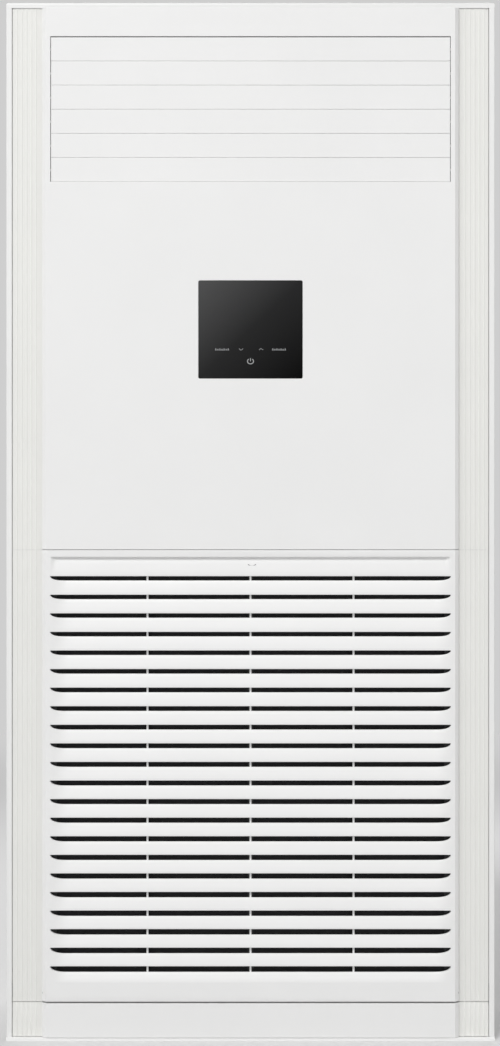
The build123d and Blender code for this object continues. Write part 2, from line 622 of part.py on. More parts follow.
def make_outlet_duct():
    front = FRONT + WALL
    out = DUCT_HALF + DUCT_WALL
    low, high = DUCT_BOTTOM - DUCT_WALL, DUCT_TOP + DUCT_WALL
    with BuildPart() as duct:
        block(-out, out, front, DUCT_BACK, low, high)
        block(-DUCT_HALF, DUCT_HALF, front, DUCT_BACK, DUCT_BOTTOM, DUCT_TOP, Mode.SUBTRACT)
        for side in (-1, 1):
            for z in LOUVRE_Z:
                rod((side * DUCT_HALF, LOUVRE_Y, z), (side, 0, 0), BUSH_R, DUCT_WALL,
                    Mode.SUBTRACT)
        rod((DUCT_HALF, DRIVE_Y, DRIVE_Z), (1, 0, 0), PIN_R + 0.5, DUCT_WALL, Mode.SUBTRACT)
        for x in VANE_X:
            rod((x, VANE_Y, low), (0, 0, 1), PIN_R + FIT, DUCT_WALL, Mode.SUBTRACT)
            rod((x, VANE_Y, DUCT_TOP), (0, 0, 1), PIN_R + FIT, DUCT_WALL, Mode.SUBTRACT)
    save(duct, "outlet_duct")


def make_vane(number):
    x = VANE_X[number]
    half = VANE_DEPTH / 2
    with BuildPart() as vane:
        block(x - VANE_THICK / 2, x + VANE_THICK / 2, VANE_Y - half, VANE_Y + half,
              VANE_LOW, VANE_HIGH)
        rod((x, VANE_Y, DUCT_BOTTOM + 0.5), (0, 0, 1), 3.5, VANE_HIGH - DUCT_BOTTOM + 2)
        pin_low = DUCT_BOTTOM - DUCT_WALL
        rod((x, VANE_Y, pin_low), (0, 0, 1), PIN_R, DUCT_TOP + DUCT_WALL - pin_low)
        rod((x, VANE_Y + VANE_CRANK, VANE_LOW - VANE_LINK_GAP - 3), (0, 0, 1), CRANK_PIN_R,
            VANE_LINK_GAP + 8)
    save(vane, f"vane_{number + 1:02d}")


def make_vane_drive():
    y = VANE_Y + VANE_CRANK
    with BuildPart() as link:
        with BuildSketch(Plane.XY.offset(VANE_LOW - VANE_LINK_GAP - 2)):
            with Locations(((VANE_X[0] + VANE_X[-1]) / 2, y)):
                SlotCenterToCenter(VANE_X[-1] - VANE_X[0], 8)
            for i, x in enumerate(VANE_X):
                with Locations((x, y)):
                    Circle(CRANK_PIN_R + (FIT if i == 0 else LOOSE), mode=Mode.SUBTRACT)
        extrude(amount=2)
    save(link, "vane_link")
    top = DUCT_BOTTOM - DUCT_WALL
    with BuildPart() as motor:
        rod((VANE_X[VANES // 2], VANE_Y, top), (0, 0, -1), MOTOR_R, MOTOR_LENGTH)
        with BuildSketch(Plane.XY.offset(top)):
            with Locations((VANE_X[VANES // 2], VANE_Y)):
                SlotOverall(44, 9)
        extrude(amount=-1.2)
    save(motor, "vane_motor")


# ---- Air filter ----------------------------------------------------------------------------
def make_filter():
    edge = 12.0
    back = FILTER_Y + FILTER_THICK
    middle = (FILTER_BOTTOM + FILTER_TOP) / 2
    with BuildPart() as frame:
        block(-FILTER_HALF, FILTER_HALF, FILTER_Y, back, FILTER_BOTTOM, FILTER_TOP)
        for side in (-1, 1):
            near, far = side * 5, side * (FILTER_HALF - edge)
            block(near, far, FILTER_Y, back, FILTER_BOTTOM + edge, middle - 5, Mode.SUBTRACT)
            block(near, far, FILTER_Y, back, middle + 5, FILTER_TOP - edge, Mode.SUBTRACT)
            block(side * 150, side * 200, FILTER_Y + 1, back - 1, FILTER_TOP, FILTER_TOP + 8)
    save(frame, "filter_frame")
    with BuildPart() as mesh:
        for side in (-1, 1):
            near, far = side * 5, side * (FILTER_HALF - edge)
            level = FILTER_Y + FILTER_THICK / 2
            block(near, far, level - 0.4, level + 0.4, FILTER_BOTTOM + edge, middle - 5)
            block(near, far, level - 0.4, level + 0.4, middle + 5, FILTER_TOP - edge)
    save(mesh, "filter_mesh")


# ---- Panel hinges and catches ----------------------------------------------------------------
def make_hinges():
    inner = PANEL_HALF - WALL - 8.5
    with BuildPart() as brackets:
        for side in (-1, 1):
            block(side * inner, side * (inner + 4), HINGE_Y, FRAME_Y, HINGE_Z - 4.5,
                  HINGE_Z + 4.5)
            rod((side * inner, HINGE_Y, HINGE_Z), (side, 0, 0), 5, 4)
            block(side * (inner - 14), side * (inner + 4), FRAME_Y - SHEET, FRAME_Y,
                  HINGE_Z - 12, HINGE_Z + 12)
            rod((side * (inner - 1), HINGE_Y, HINGE_Z), (side, 0, 0), HINGE_PIN_R + 0.02, 6,
                Mode.SUBTRACT)
    save(brackets, "hinge_brackets")
    with BuildPart() as pins:
        for side in (-1, 1):
            rod((side * (inner - 0.5), HINGE_Y, HINGE_Z), (side, 0, 0), HINGE_PIN_R,
                PANEL_HALF - 0.2 - inner + 0.5)
    save(pins, "hinge_pins")


def make_catches():
    top = INTAKE_TOP - WALL
    with BuildPart() as magnets:
        for side in (-1, 1):
            block(side * (CATCH_X - 12), side * (CATCH_X + 12), PANEL_BACK + 0.3, FRAME_Y,
                  top - 11, top + 1)
    save(magnets, "catch_magnets")


# ---- Fan -------------------------------------------------------------------------------------
def scroll_outline(inset):
    """Spiral from the cut-off round to the straight discharge wall, then up to the deck."""
    spiral = []
    for i in range(SCROLL_STEPS + 1):
        share = i / SCROLL_STEPS
        angle = radians(SCROLL_CUTOFF - SCROLL_TURN * share)
        r = SCROLL_START + (SCROLL_END - SCROLL_START) * share - inset
        spiral.append((FAN_X + r * cos(angle), FAN_Z + r * sin(angle)))
    first, last = spiral[0], spiral[-1]
    top = DECK_Z + inset
    with BuildLine() as outline:
        Spline(*spiral)
        Polyline(last, (last[0], top), (first[0], top), first)
    make_face(outline.edges())


def make_fan_housing():
    with BuildPart() as housing:
        with BuildSketch(Plane.XZ.offset(-HOUSE_BACK)):
            scroll_outline(0)
        extrude(amount=HOUSE_BACK - HOUSE_FRONT)
        with BuildSketch(Plane.XZ.offset(-HOUSE_BACK + SCROLL_WALL)):
            scroll_outline(SCROLL_WALL)
        extrude(amount=HOUSE_BACK - HOUSE_FRONT - 2 * SCROLL_WALL, mode=Mode.SUBTRACT)
        rod((FAN_X, HOUSE_FRONT, FAN_Z), (0, 1, 0), INLET_R + 15, SCROLL_WALL, Mode.SUBTRACT)
        rod((FAN_X, HOUSE_BACK, FAN_Z), (0, -1, 0), 40, SCROLL_WALL, Mode.SUBTRACT)
        # Feet down to the base pan
        for side in (-1, 1):
            x = FAN_X + side * 150
            block(x - 12, x + 12, HOUSE_FRONT, HOUSE_FRONT + 3, SHEET, FAN_Z - 215)
            block(x - 12, x + 12, HOUSE_BACK - 3, HOUSE_BACK, SHEET, FAN_Z - 215)
            block(x - 12, x + 12, HOUSE_FRONT, HOUSE_BACK, SHEET, SHEET + 3)
        rod((FAN_X, HOUSE_FRONT, FAN_Z), (0, 1, 0), INLET_R + 15, SCROLL_WALL, Mode.SUBTRACT)
    save(housing, "fan_housing")


def make_inlet_ring():
    """Bell mouth: a flared lip that leads the air into the impeller."""
    outer, flare, throat = INLET_R + 22, INLET_R + 12, INLET_R - 6
    face, inside = HOUSE_FRONT, HOUSE_FRONT + 11
    with BuildPart() as ring:
        with BuildSketch(Plane.XY):
            Polygon((outer, face), (outer, face - 2), (flare, face - 2),
                    (INLET_R + 1, face), (throat + 1, face + 4), (throat, inside),
                    (throat + 2, inside), (throat + 3, face + 5), (INLET_R + 3, face + 1),
                    (flare, face), align=None)
        revolve(axis=Axis.Y)
    ring.part.position = (FAN_X, 0, FAN_Z)
    save(ring, "inlet_ring")


def make_impeller():
    """Forward-curved centrifugal wheel: back plate, hub, blades and inlet rim."""
    blade_in, blade_out, thick = FAN_R - 32, FAN_R - 2, 1.6
    middle = (blade_in + blade_out) / 2
    wheel_front = Plane(origin=(FAN_X, FAN_FRONT, FAN_Z), z_dir=(0, 1, 0))
    with BuildPart() as wheel:
        with BuildSketch(wheel_front):
            with PolarLocations(0, FAN_BLADES):
                with BuildLine():
                    ThreePointArc((blade_in, 0), (middle, -5), (blade_out, 6))
                    Line((blade_out, 6), (blade_out - thick, 6 + thick))
                    ThreePointArc((blade_out - thick, 6 + thick), (middle, thick - 5),
                                  (blade_in, thick))
                    Line((blade_in, thick), (blade_in, 0))
                make_face()
        extrude(amount=FAN_WIDTH)
        with BuildSketch(wheel_front):
            Circle(FAN_R)
            Circle(FAN_R - 14, mode=Mode.SUBTRACT)
        extrude(amount=3)
        rod((FAN_X, FAN_BACK - 2.5, FAN_Z), (0, 1, 0), FAN_R, 2.5)
        rod((FAN_X, FAN_BACK - 32, FAN_Z), (0, 1, 0), 26, 34)
        rod((FAN_X, FAN_BACK - 33, FAN_Z), (0, 1, 0), SHAFT_R, 36, Mode.SUBTRACT)
    save(wheel, "impeller")


def make_fan_motor():
    face = HOUSE_BACK + 3
    with BuildPart() as shaft:
        rod((FAN_X, FAN_BACK - 36, FAN_Z), (0, 1, 0), SHAFT_R, face + 30 - FAN_BACK + 36)
    save(shaft, "fan_shaft")
    with BuildPart() as motor:
        rod((FAN_X, face, FAN_Z), (0, 1, 0), FAN_MOTOR_R, FAN_MOTOR_LENGTH)
        chamfer(motor.edges().filter_by(GeomType.CIRCLE), 5)
        rod((FAN_X, face, FAN_Z), (0, 1, 0), SHAFT_R + FIT, 32, Mode.SUBTRACT)
    save(motor, "fan_motor")
    with BuildPart() as plate:
        with BuildSketch(Plane.XZ.offset(-face)):
            with Locations((FAN_X, FAN_Z)):
                RectangleRounded(MOTOR_PLATE, MOTOR_PLATE, MOTOR_PLATE / 11)
                Circle(SHAFT_R + 6, mode=Mode.SUBTRACT)
        extrude(amount=3)
        with BuildSketch(Plane.XZ.offset(-face - FAN_MOTOR_LENGTH / 2)):
            with Locations((FAN_X, FAN_Z)):
                Circle(FAN_MOTOR_R + 2)
                Circle(FAN_MOTOR_R, mode=Mode.SUBTRACT)
        extrude(amount=12)
        for side in (-1, 1):
            x = FAN_X + side * (FAN_MOTOR_R + 2)
            block(x - 1, x + 1, face - 3, face + FAN_MOTOR_LENGTH / 2, FAN_Z - 8, FAN_Z + 8)
    save(plate, "motor_bracket")


# ---- Evaporator ------------------------------------------------------------------------------
COIL_PLANE = Plane(origin=(0, COIL_Y, DECK_Z + COIL_RISE), x_dir=(1, 0, 0),
                   z_dir=(0, sin(radians(COIL_TILT)), cos(radians(COIL_TILT))))


def make_evaporator():
    half = COIL_LENGTH / 2
    thick = COIL_THICK / 2
    with BuildPart(COIL_PLANE) as fins:
        block(-half, half, -thick, thick, 0, COIL_HEIGHT)
    save(fins, "coil_fins")
    # The end plates reach down to the floor of the drain pan
    lean = radians(COIL_TILT)
    foot = (COIL_RISE - SHEET - PAN_WALL - 0.3) / cos(lean) - (thick + 3) * sin(lean) / cos(lean)
    with BuildPart(COIL_PLANE) as ends:
        for side in (-1, 1):
            block(side * half, side * (half + 1.5), -thick - 3, thick + 3, -foot,
                  COIL_HEIGHT + 3)
            block(side * half, side * (half + 25), thick + 3, thick + 4.5, -3,
                  COIL_HEIGHT + 3)
    save(ends, "coil_end_plates")


def make_drain_pan():
    low = DECK_Z + SHEET
    half = COIL_LENGTH / 2 + PAN_OVERHANG
    with BuildPart() as pan:
        block(-half, half, PAN_FRONT, PAN_BACK, low, low + PAN_RIM)
        block(PAN_WALL - half, half - PAN_WALL, PAN_FRONT + PAN_WALL, PAN_BACK - PAN_WALL,
              low + PAN_WALL, low + PAN_RIM, Mode.SUBTRACT)
        spigot = (half - 45, PAN_BACK - PAN_WALL, low + PAN_WALL + DRAIN_R - 0.5)
        rod(spigot, (0, 1, 0), DRAIN_R, 30)
        rod(spigot, (0, 1, 0), DRAIN_R - 2.5, 31, Mode.SUBTRACT)
    save(pan, "drain_pan")


def make_deck():
    left, right = FAN_X - SCROLL_END, FAN_X + SCROLL_START * cos(radians(SCROLL_CUTOFF))
    with BuildPart() as deck:
        block(-HALF + SHEET, HALF - SHEET, FRAME_Y + SHEET, BACK - 2 * SHEET, DECK_Z,
              DECK_Z + SHEET)
        block(left + SCROLL_WALL, right - SCROLL_WALL, HOUSE_FRONT + SCROLL_WALL,
              HOUSE_BACK - SCROLL_WALL, DECK_Z, DECK_Z + SHEET, Mode.SUBTRACT)
        for y, radius in ((SUCTION_Y, SUCTION_R), (LIQUID_Y, LIQUID_R)):
            rod((PIPE_X, y, DECK_Z), (0, 0, 1), radius + 0.3, SHEET, Mode.SUBTRACT)
    save(deck, "fan_deck")


def make_pipes():
    with BuildPart() as nuts:
        for y, radius in ((SUCTION_Y, SUCTION_R), (LIQUID_Y, LIQUID_R)):
            with BuildSketch(Plane.XY.offset(PIPE_END)):
                with Locations((PIPE_X, y)):
                    RegularPolygon(radius + 5, 6)
                    Circle(radius, mode=Mode.SUBTRACT)
            extrude(amount=NUT_LENGTH)
    save(nuts, "flare_nuts")
    for name, y, radius in (("suction_pipe", SUCTION_Y, SUCTION_R),
                            ("liquid_pipe", LIQUID_Y, LIQUID_R)):
        with BuildPart() as pipe:
            with BuildLine() as route:
                turn = DECK_Z + PIPE_RISE
                FilletPolyline((PIPE_X, y, PIPE_END), (PIPE_X, y, turn),
                               (COIL_LENGTH / 2 + PIPE_REACH, y, turn), radius=PIPE_BEND)
            with BuildSketch(Plane(origin=(PIPE_X, y, PIPE_END), z_dir=(0, 0, 1))):
                Circle(radius)
                Circle(radius - PIPE_WALL, mode=Mode.SUBTRACT)
            sweep(path=route.wires()[0])
        save(pipe, name)


# ---- Electrical box ----------------------------------------------------------------------------
def make_electrics():
    """Box behind the upper panel, with its lid, board, terminals and capacitor."""
    left, right = DISPLAY_W / 2 + BOX_GAP, PANEL_HALF - BOX_MARGIN
    low, high = DISPLAY_Z - BOX_DROP, DISPLAY_Z + BOX_RISE
    front = FRAME_Y + SHEET
    floor = front + BOX_DEPTH - BOX_SHEET
    with BuildPart() as box:
        block(left, right, front, front + BOX_DEPTH, low, high)
        block(left + BOX_SHEET, right - BOX_SHEET, front, floor, low + BOX_SHEET,
              high - BOX_SHEET, Mode.SUBTRACT)
    save(box, "electrical_box")
    with BuildPart() as cover:
        block(left - LID_LAP, right + LID_LAP, FRAME_Y - BOX_SHEET, FRAME_Y, low - LID_LAP,
              high + LID_LAP)
        for x in (left - LID_LAP / 2, right + LID_LAP / 2):
            for z in (low, high):
                rod((x, FRAME_Y - BOX_SHEET - 2, z), (0, 1, 0), 4, 2)
    save(cover, "electrical_cover")
    # The board stands on posts in the upper part, the terminals lie below it
    board_left, board_right = left + 20, right - 45
    board_low, board_high = low + TERMINAL_TOP + 80, high - 20
    face = floor - BOARD_POST - BOARD_THICK
    with BuildPart() as board:
        block(board_left, board_right, face, floor - BOARD_POST, board_low, board_high)
        for along, up in ((30, 50), (90, 50), (60, 120)):
            x, z = board_left + along, board_low + up
            block(x - 14, x + 14, face - 17.4, face, z - 14, z + 14)
        for x in (board_left + 6, board_right - 6):
            for z in (board_low + 6, board_high - 6):
                rod((x, floor - BOARD_POST, z), (0, 1, 0), 3, BOARD_POST)
    save(board, "control_board")
    pitch = (board_right - board_left) / (TERMINALS + 0.2)
    middle = low + TERMINAL_TOP - TERMINAL_TALL / 2
    with BuildPart() as terminals:
        block(board_left, board_right, floor - TERMINAL_DEEP, floor,
              middle - TERMINAL_TALL / 2, middle + TERMINAL_TALL / 2)
        for i in range(TERMINALS):
            x = board_left + pitch * (i + 0.6)
            block(x - 8, x + 8, floor - TERMINAL_DEEP, floor - TERMINAL_DEEP + 10,
                  middle - 14, middle + 14, Mode.SUBTRACT)
            rod((x, floor - TERMINAL_DEEP + 10, middle), (0, -1, 0), 4, 3)
    save(terminals, "terminal_block")
    with BuildPart() as capacitor:
        place = (right - CAPACITOR_R - 6, floor - CAPACITOR_R - 0.3, low + TERMINAL_TOP + 10)
        rod(place, (0, 0, 1), CAPACITOR_R, 90)
        chamfer(capacitor.edges().filter_by(GeomType.CIRCLE), 2)
    save(capacitor, "run_capacitor")


# ---- Small fittings ------------------------------------------------------------------------------
def make_grommets():
    with BuildPart() as rings:
        for x, z, radius, rim in ((PORT_X, PORT_Z, PORT_R, 4.0),
                                  (GLAND_X, GLAND_Z, GLAND_R, 3.0)):
            rod((x, BACK - SHEET, z), (0, 1, 0), radius, SHEET)
            rod((x, BACK - SHEET - 3, z), (0, 1, 0), radius + rim, 3)
            rod((x, BACK - SHEET - 4, z), (0, 1, 0), radius - rim, 8, Mode.SUBTRACT)
    save(rings, "rear_grommets")


# ---- Build ---------------------------------------------------------------------------------------
make_base_pan()
make_side_panel("side_panel_left", -1)
make_side_panel("side_panel_right", 1)
make_rear_panel()
make_top_cover()
make_front_frame()
make_upper_panel()
make_intake_panel()
make_kick_panel()
for label, sign in (("left", -1), ("right", 1)):
    make_trim(f"upper_trim_{label}", sign, INTAKE_TOP + TRIM_SEAM, CAP_Z - TRIM_SEAM, True)
    make_trim(f"intake_trim_{label}", sign, KICK_TOP + SEAM, INTAKE_TOP, False)
make_display()
for index in range(LOUVRES):
    make_louvre(index)
make_louvre_link()
make_louvre_drive()
make_louvre_bushes()
make_outlet_duct()
for index in range(VANES):
    make_vane(index)
make_vane_drive()
make_filter()
make_hinges()
make_catches()
make_fan_housing()
make_inlet_ring()
make_impeller()
make_fan_motor()
make_deck()
make_evaporator()
make_drain_pan()
make_pipes()
make_electrics()
make_grommets()
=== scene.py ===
import json
import math

import bmesh
import bpy
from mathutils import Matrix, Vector

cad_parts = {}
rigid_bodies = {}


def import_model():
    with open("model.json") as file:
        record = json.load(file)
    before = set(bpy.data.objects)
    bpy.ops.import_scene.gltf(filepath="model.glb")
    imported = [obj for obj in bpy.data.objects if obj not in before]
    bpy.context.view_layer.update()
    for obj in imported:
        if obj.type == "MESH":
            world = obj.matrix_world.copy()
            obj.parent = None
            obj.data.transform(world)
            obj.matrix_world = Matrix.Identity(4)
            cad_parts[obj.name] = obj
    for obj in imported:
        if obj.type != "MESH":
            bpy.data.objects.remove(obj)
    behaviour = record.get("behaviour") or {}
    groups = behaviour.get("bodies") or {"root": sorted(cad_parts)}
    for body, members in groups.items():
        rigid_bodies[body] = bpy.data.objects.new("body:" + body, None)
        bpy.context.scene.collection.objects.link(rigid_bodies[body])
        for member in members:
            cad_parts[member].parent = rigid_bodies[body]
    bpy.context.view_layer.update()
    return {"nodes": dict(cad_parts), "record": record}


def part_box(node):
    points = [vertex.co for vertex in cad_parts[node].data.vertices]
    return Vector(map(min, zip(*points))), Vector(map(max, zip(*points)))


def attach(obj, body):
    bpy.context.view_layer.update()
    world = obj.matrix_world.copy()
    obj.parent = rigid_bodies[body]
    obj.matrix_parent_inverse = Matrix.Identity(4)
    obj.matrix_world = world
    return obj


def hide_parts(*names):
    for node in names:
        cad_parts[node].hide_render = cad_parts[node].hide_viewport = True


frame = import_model()

# ---- Sizes, in metres ---------------------------------------------------------------------
MM = 0.001
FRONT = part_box("upper_panel")[0][1]
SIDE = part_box("side_panel_right")[1][0]
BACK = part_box("rear_panel")[1][1]
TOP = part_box("top_cover")[1][2]
SHEET = 0.002                      # thickness of the cabinet's sheet metal
ANCHOR_SPACING, ANCHOR_DROP, ANCHOR_HOLE = 0.5, 0.030, 0.0045   # wall-anchor holes, rear sheet
COIL_THICK, COIL_TUBES = 0.050, 8  # depth of the fin pack and its tubes in height
FIN_WAVES = 140.0                  # bands of the fins' wave texture in one metre
FLOOR_SIZE = 40.0
FADE_START, FADE_END = 1.6, 6.0     # where the floor turns into the plain background

# The photograph's frame and the camera
PHOTO_SCALE = 1.7977 * MM          # metres per pixel of the photograph at the front face
PHOTO_W, PHOTO_H = 500, 1046
FLOOR_ROW = 1041.5                 # photo row of the cabinet's foot
CENTRE_COLUMN = 250.5              # photo column of the cabinet's middle
CAMERA_DISTANCE, SENSOR = 4.2, 36.0   # metres from the front face; film size in mm

# Light levels, lamps in watts, and colours
WORLD, BACKDROP = 0.235, 0.62      # light on the object; level of the pale background
KEY, FILL, FACE, BACK_LIGHT = 40, 31, 1150, 50
FLOOR_COLOUR = (0.72, 0.72, 0.72)
PANEL_WHITE, STRIP_WHITE = (0.845, 0.845, 0.842), (0.800, 0.800, 0.774)

# Edges sharper than these angles are rounded, or shaded as edges
BEVEL_ANGLE, SHARP_ANGLE = math.radians(40), math.radians(35)
SHADE_REACH = 0.012                 # how far from a corner the painted shade reaches
FINE_GRAIN, COARSE_GRAIN = 0.00004, 0.00008   # depth of a surface's grain
WELD_REACH, SEAM_REACH = 0.00001, 0.000004   # points nearer than this are one


def photo_x(column):
    """Place along X of a photo column at the front face."""
    return (column - CENTRE_COLUMN) * PHOTO_SCALE


def photo_z(row):
    """Height of a photo row at the front face."""
    return (FLOOR_ROW - row) * PHOTO_SCALE


# ---- Materials ----------------------------------------------------------------------------
class Nodes:
    """Short ways to wire a node tree."""

    def __init__(self, name):
        self.material = bpy.data.materials.new(name)
        self.material.use_nodes = True
        self.tree = self.material.node_tree
        self.shader = self.tree.nodes["Principled BSDF"]
        self.place = self.add("ShaderNodeTexCoord").outputs["Object"]

    def add(self, kind, **values):
        node = self.tree.nodes.new(kind)
        for key, value in values.items():
            if hasattr(node, key):
                setattr(node, key, value)
            else:
                node.inputs[key].default_value = value
        return node

    def link(self, source, target):
        self.tree.links.new(source, target)

    def noise(self, scale, detail=3.0, stretch=(1, 1, 1)):
        """Noise by place on the object; stretch above 1 packs it along that axis."""
        mapping = self.add("ShaderNodeMapping")
        mapping.inputs["Scale"].default_value = stretch
        self.link(self.place, mapping.inputs["Vector"])
        noise = self.add("ShaderNodeTexNoise", Scale=scale, Detail=detail)
        self.link(mapping.outputs["Vector"], noise.inputs["Vector"])
        return noise.outputs["Fac"]

    def wave(self, scale, direction):
        wave = self.add("ShaderNodeTexWave", Scale=scale, bands_direction=direction)
        self.link(self.place, wave.inputs["Vector"])
        return wave.outputs["Fac"]

    def spread(self, factor, low, high):
        """Maps a 0 to 1 factor to a range of plain numbers."""
        node = self.add("ShaderNodeMapRange")
        self.link(factor, node.inputs["Value"])
        node.inputs["To Min"].default_value = low
        node.inputs["To Max"].default_value = high
        return node.outputs["Result"]

    def tint(self, factor, dark, light):
        ramp = self.add("ShaderNodeValToRGB")
        ramp.color_ramp.elements[0].position = 0.3
        ramp.color_ramp.elements[1].position = 0.7
        ramp.color_ramp.elements[0].color = (*dark, 1)
        ramp.color_ramp.elements[1].color = (*light, 1)
        self.link(factor, ramp.inputs["Fac"])
        return ramp.outputs["Color"]

    def mix_colours(self, factor, first, second):
        """Goes from the first colour to the second; the first may be a plain colour."""
        node = self.add("ShaderNodeMix", data_type="RGBA")
        sockets = [socket for socket in node.inputs if socket.type == "RGBA"]
        self.link(factor, node.inputs[0])
        if isinstance(first, tuple):
            sockets[0].default_value = (*first, 1)
        else:
            self.link(first, sockets[0])
        self.link(second, sockets[1])
        return next(socket for socket in node.outputs if socket.type == "RGBA")

    def bump(self, height, strength, distance):
        node = self.add("ShaderNodeBump", Strength=strength, Distance=distance)
        self.link(height, node.inputs["Height"])
        return node.outputs["Normal"]


def shade(colour, factor):
    """A colour made darker or lighter."""
    return tuple(min(1.0, c * factor) for c in colour)


def surface(name, colour, rough, metal=0.0, vary=0.02, grain=900.0, depth=FINE_GRAIN, strength=0.3,
            patch=6.0, stretch=(1, 1, 1), coat=0.0, painted_shade=0.0):
    """A finish with slow colour drift, fine grain in the surface and uneven gloss."""
    n = Nodes(name)
    drift = n.noise(patch, 4.0)
    fine = n.noise(grain, 2.0, stretch)
    base = n.tint(drift, shade(colour, 1 - vary), shade(colour, 1 + vary))
    # Painted shade: the colour darkens in hollows, corners and seams that ambient occlusion finds
    if painted_shade:
        # Dust gathers in hollows
        occlusion = n.add("ShaderNodeAmbientOcclusion", samples=8)
        occlusion.inputs["Distance"].default_value = SHADE_REACH
        base = n.mix_colours(occlusion.outputs["AO"], shade(colour, 1 - painted_shade), base)
    n.link(base, n.shader.inputs["Base Color"])
    n.link(n.spread(drift, rough - 0.05, rough + 0.05), n.shader.inputs["Roughness"])
    n.shader.inputs["Metallic"].default_value = metal
    n.shader.inputs["Coat Weight"].default_value = coat
    n.link(n.bump(fine, strength, depth), n.shader.inputs["Normal"])
    return n.material


def galvanised(name):
    """Zinc-coated sheet: crystals of a few millimetres, each with its own tone and gloss."""
    n = Nodes(name)
    cells = n.add("ShaderNodeTexVoronoi", Scale=130.0)
    n.link(n.place, cells.inputs["Vector"])
    split = n.add("ShaderNodeSeparateColor")
    n.link(cells.outputs["Color"], split.inputs[0])
    drift = n.noise(14.0, 3.0)
    both = n.add("ShaderNodeMix", data_type="FLOAT")
    both.inputs["Factor"].default_value = 0.4
    n.link(split.outputs[0], both.inputs["A"])
    n.link(drift, both.inputs["B"])
    flakes = both.outputs["Result"]
    n.link(n.tint(flakes, (0.47, 0.48, 0.49), (0.62, 0.63, 0.64)), n.shader.inputs["Base Color"])
    n.link(n.spread(flakes, 0.34, 0.50), n.shader.inputs["Roughness"])
    n.shader.inputs["Metallic"].default_value = 0.9
    n.link(n.bump(n.noise(500.0, 2.0), 0.25, FINE_GRAIN), n.shader.inputs["Normal"])
    return n.material


def woven(name, dark, light, scale):
    """Two crossed waves: threads over and under each other."""
    n = Nodes(name)
    across, up = n.wave(scale, "X"), n.wave(scale, "Z")
    both = n.add("ShaderNodeMath", operation="MULTIPLY")
    n.link(across, both.inputs[0])
    n.link(up, both.inputs[1])
    n.link(n.tint(both.outputs[0], dark, light), n.shader.inputs["Base Color"])
    n.shader.inputs["Roughness"].default_value = 0.85
    n.link(n.bump(both.outputs[0], 0.6, 0.0004), n.shader.inputs["Normal"])
    return n.material


def glowing(name, colour, strength):
    """A finely speckled lit print."""
    n = Nodes(name)
    drift = n.noise(2500.0, 1.0)
    n.link(n.tint(drift, shade(colour, 0.8), colour), n.shader.inputs["Base Color"])
    n.link(n.tint(drift, shade(colour, 0.8), colour), n.shader.inputs["Emission Color"])
    n.shader.inputs["Emission Strength"].default_value = strength
    n.shader.inputs["Roughness"].default_value = 0.4
    return n.material


def make_display_glass():
    """Black glass whose colour grows lighter towards the top left, a painted reflection of a lamp.
    """
    n = Nodes("display_black")
    split = n.add("ShaderNodeSeparateXYZ")
    n.link(n.place, split.inputs["Vector"])
    low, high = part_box("display_glass")
    shares = []
    for axis, start, end in (("X", low[0], high[0]), ("Z", high[2], low[2])):
        share = n.add("ShaderNodeMapRange")
        share.inputs["From Min"].default_value = start
        share.inputs["From Max"].default_value = end
        share.inputs["To Max"].default_value = 0.5
        n.link(split.outputs[axis], share.inputs["Value"])
        shares.append(share.outputs["Result"])
    both = n.add("ShaderNodeMath", operation="ADD")
    n.link(shares[0], both.inputs[0])
    n.link(shares[1], both.inputs[1])
    # Painted reflection: the base colour runs from lightest at the top left to near black at the
    # bottom right
    ramp = n.add("ShaderNodeValToRGB")
    ramp.color_ramp.elements[0].color = (0.078, 0.078, 0.079, 1)
    ramp.color_ramp.elements[1].color = (0.0004, 0.0004, 0.0004, 1)
    ramp.color_ramp.elements.new(0.5).color = (0.019, 0.019, 0.0195, 1)
    n.link(both.outputs[0], ramp.inputs["Fac"])
    n.link(ramp.outputs["Color"], n.shader.inputs["Base Color"])
    haze = n.noise(30.0, 3.0)
    n.link(n.spread(haze, 0.12, 0.18), n.shader.inputs["Roughness"])
    n.shader.inputs["Specular IOR Level"].default_value = 0.08
    return n.material


def make_fins():
    """Thin upright aluminium fins, seen edge on, with a little uneven shine; the dark bands
    between the fins are painted shade.
    """
    n = Nodes("fins")
    ridges = n.wave(FIN_WAVES, "X")
    drift = n.noise(14.0, 3.0)
    # Painted shade: dark bands stand for the shaded gaps between the fins, light bands for the
    # fins themselves
    n.link(n.tint(ridges, (0.16, 0.17, 0.18), (0.74, 0.77, 0.80)), n.shader.inputs["Base Color"])
    n.link(n.spread(drift, 0.28, 0.42), n.shader.inputs["Roughness"])
    n.shader.inputs["Metallic"].default_value = 0.85
    n.link(n.bump(ridges, 0.8, 0.0008), n.shader.inputs["Normal"])
    return n.material


def make_kick():
    """The kick panel's paint: panel white in the middle, strip white past the trims' edges, there
    painted lighter as painted light for the dimmer light near the floor.
    """
    n = Nodes("kick_panel")
    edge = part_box("intake_trim_right")[0][0]
    split = n.add("ShaderNodeSeparateXYZ")
    n.link(n.place, split.inputs["Vector"])
    half = n.add("ShaderNodeMath", operation="ABSOLUTE")
    n.link(split.outputs["X"], half.inputs[0])
    past = n.add("ShaderNodeMath", operation="GREATER_THAN")
    n.link(half.outputs[0], past.inputs[0])
    past.inputs[1].default_value = edge
    drift = n.noise(6.0, 4.0)
    panel = n.tint(drift, shade(PANEL_WHITE, 0.992), shade(PANEL_WHITE, 1.008))
    # Painted light: the strip white is 2 to 4 per cent lighter here than on the other strips,
    # where less light reaches
    strip = n.tint(drift, shade(STRIP_WHITE, 1.02), shade(STRIP_WHITE, 1.04))
    n.link(n.mix_colours(past.outputs[0], panel, strip), n.shader.inputs["Base Color"])
    n.link(n.spread(drift, 0.37, 0.47), n.shader.inputs["Roughness"])
    n.link(n.bump(n.noise(1400, 2.0), 0.3, FINE_GRAIN), n.shader.inputs["Normal"])
    return n.material


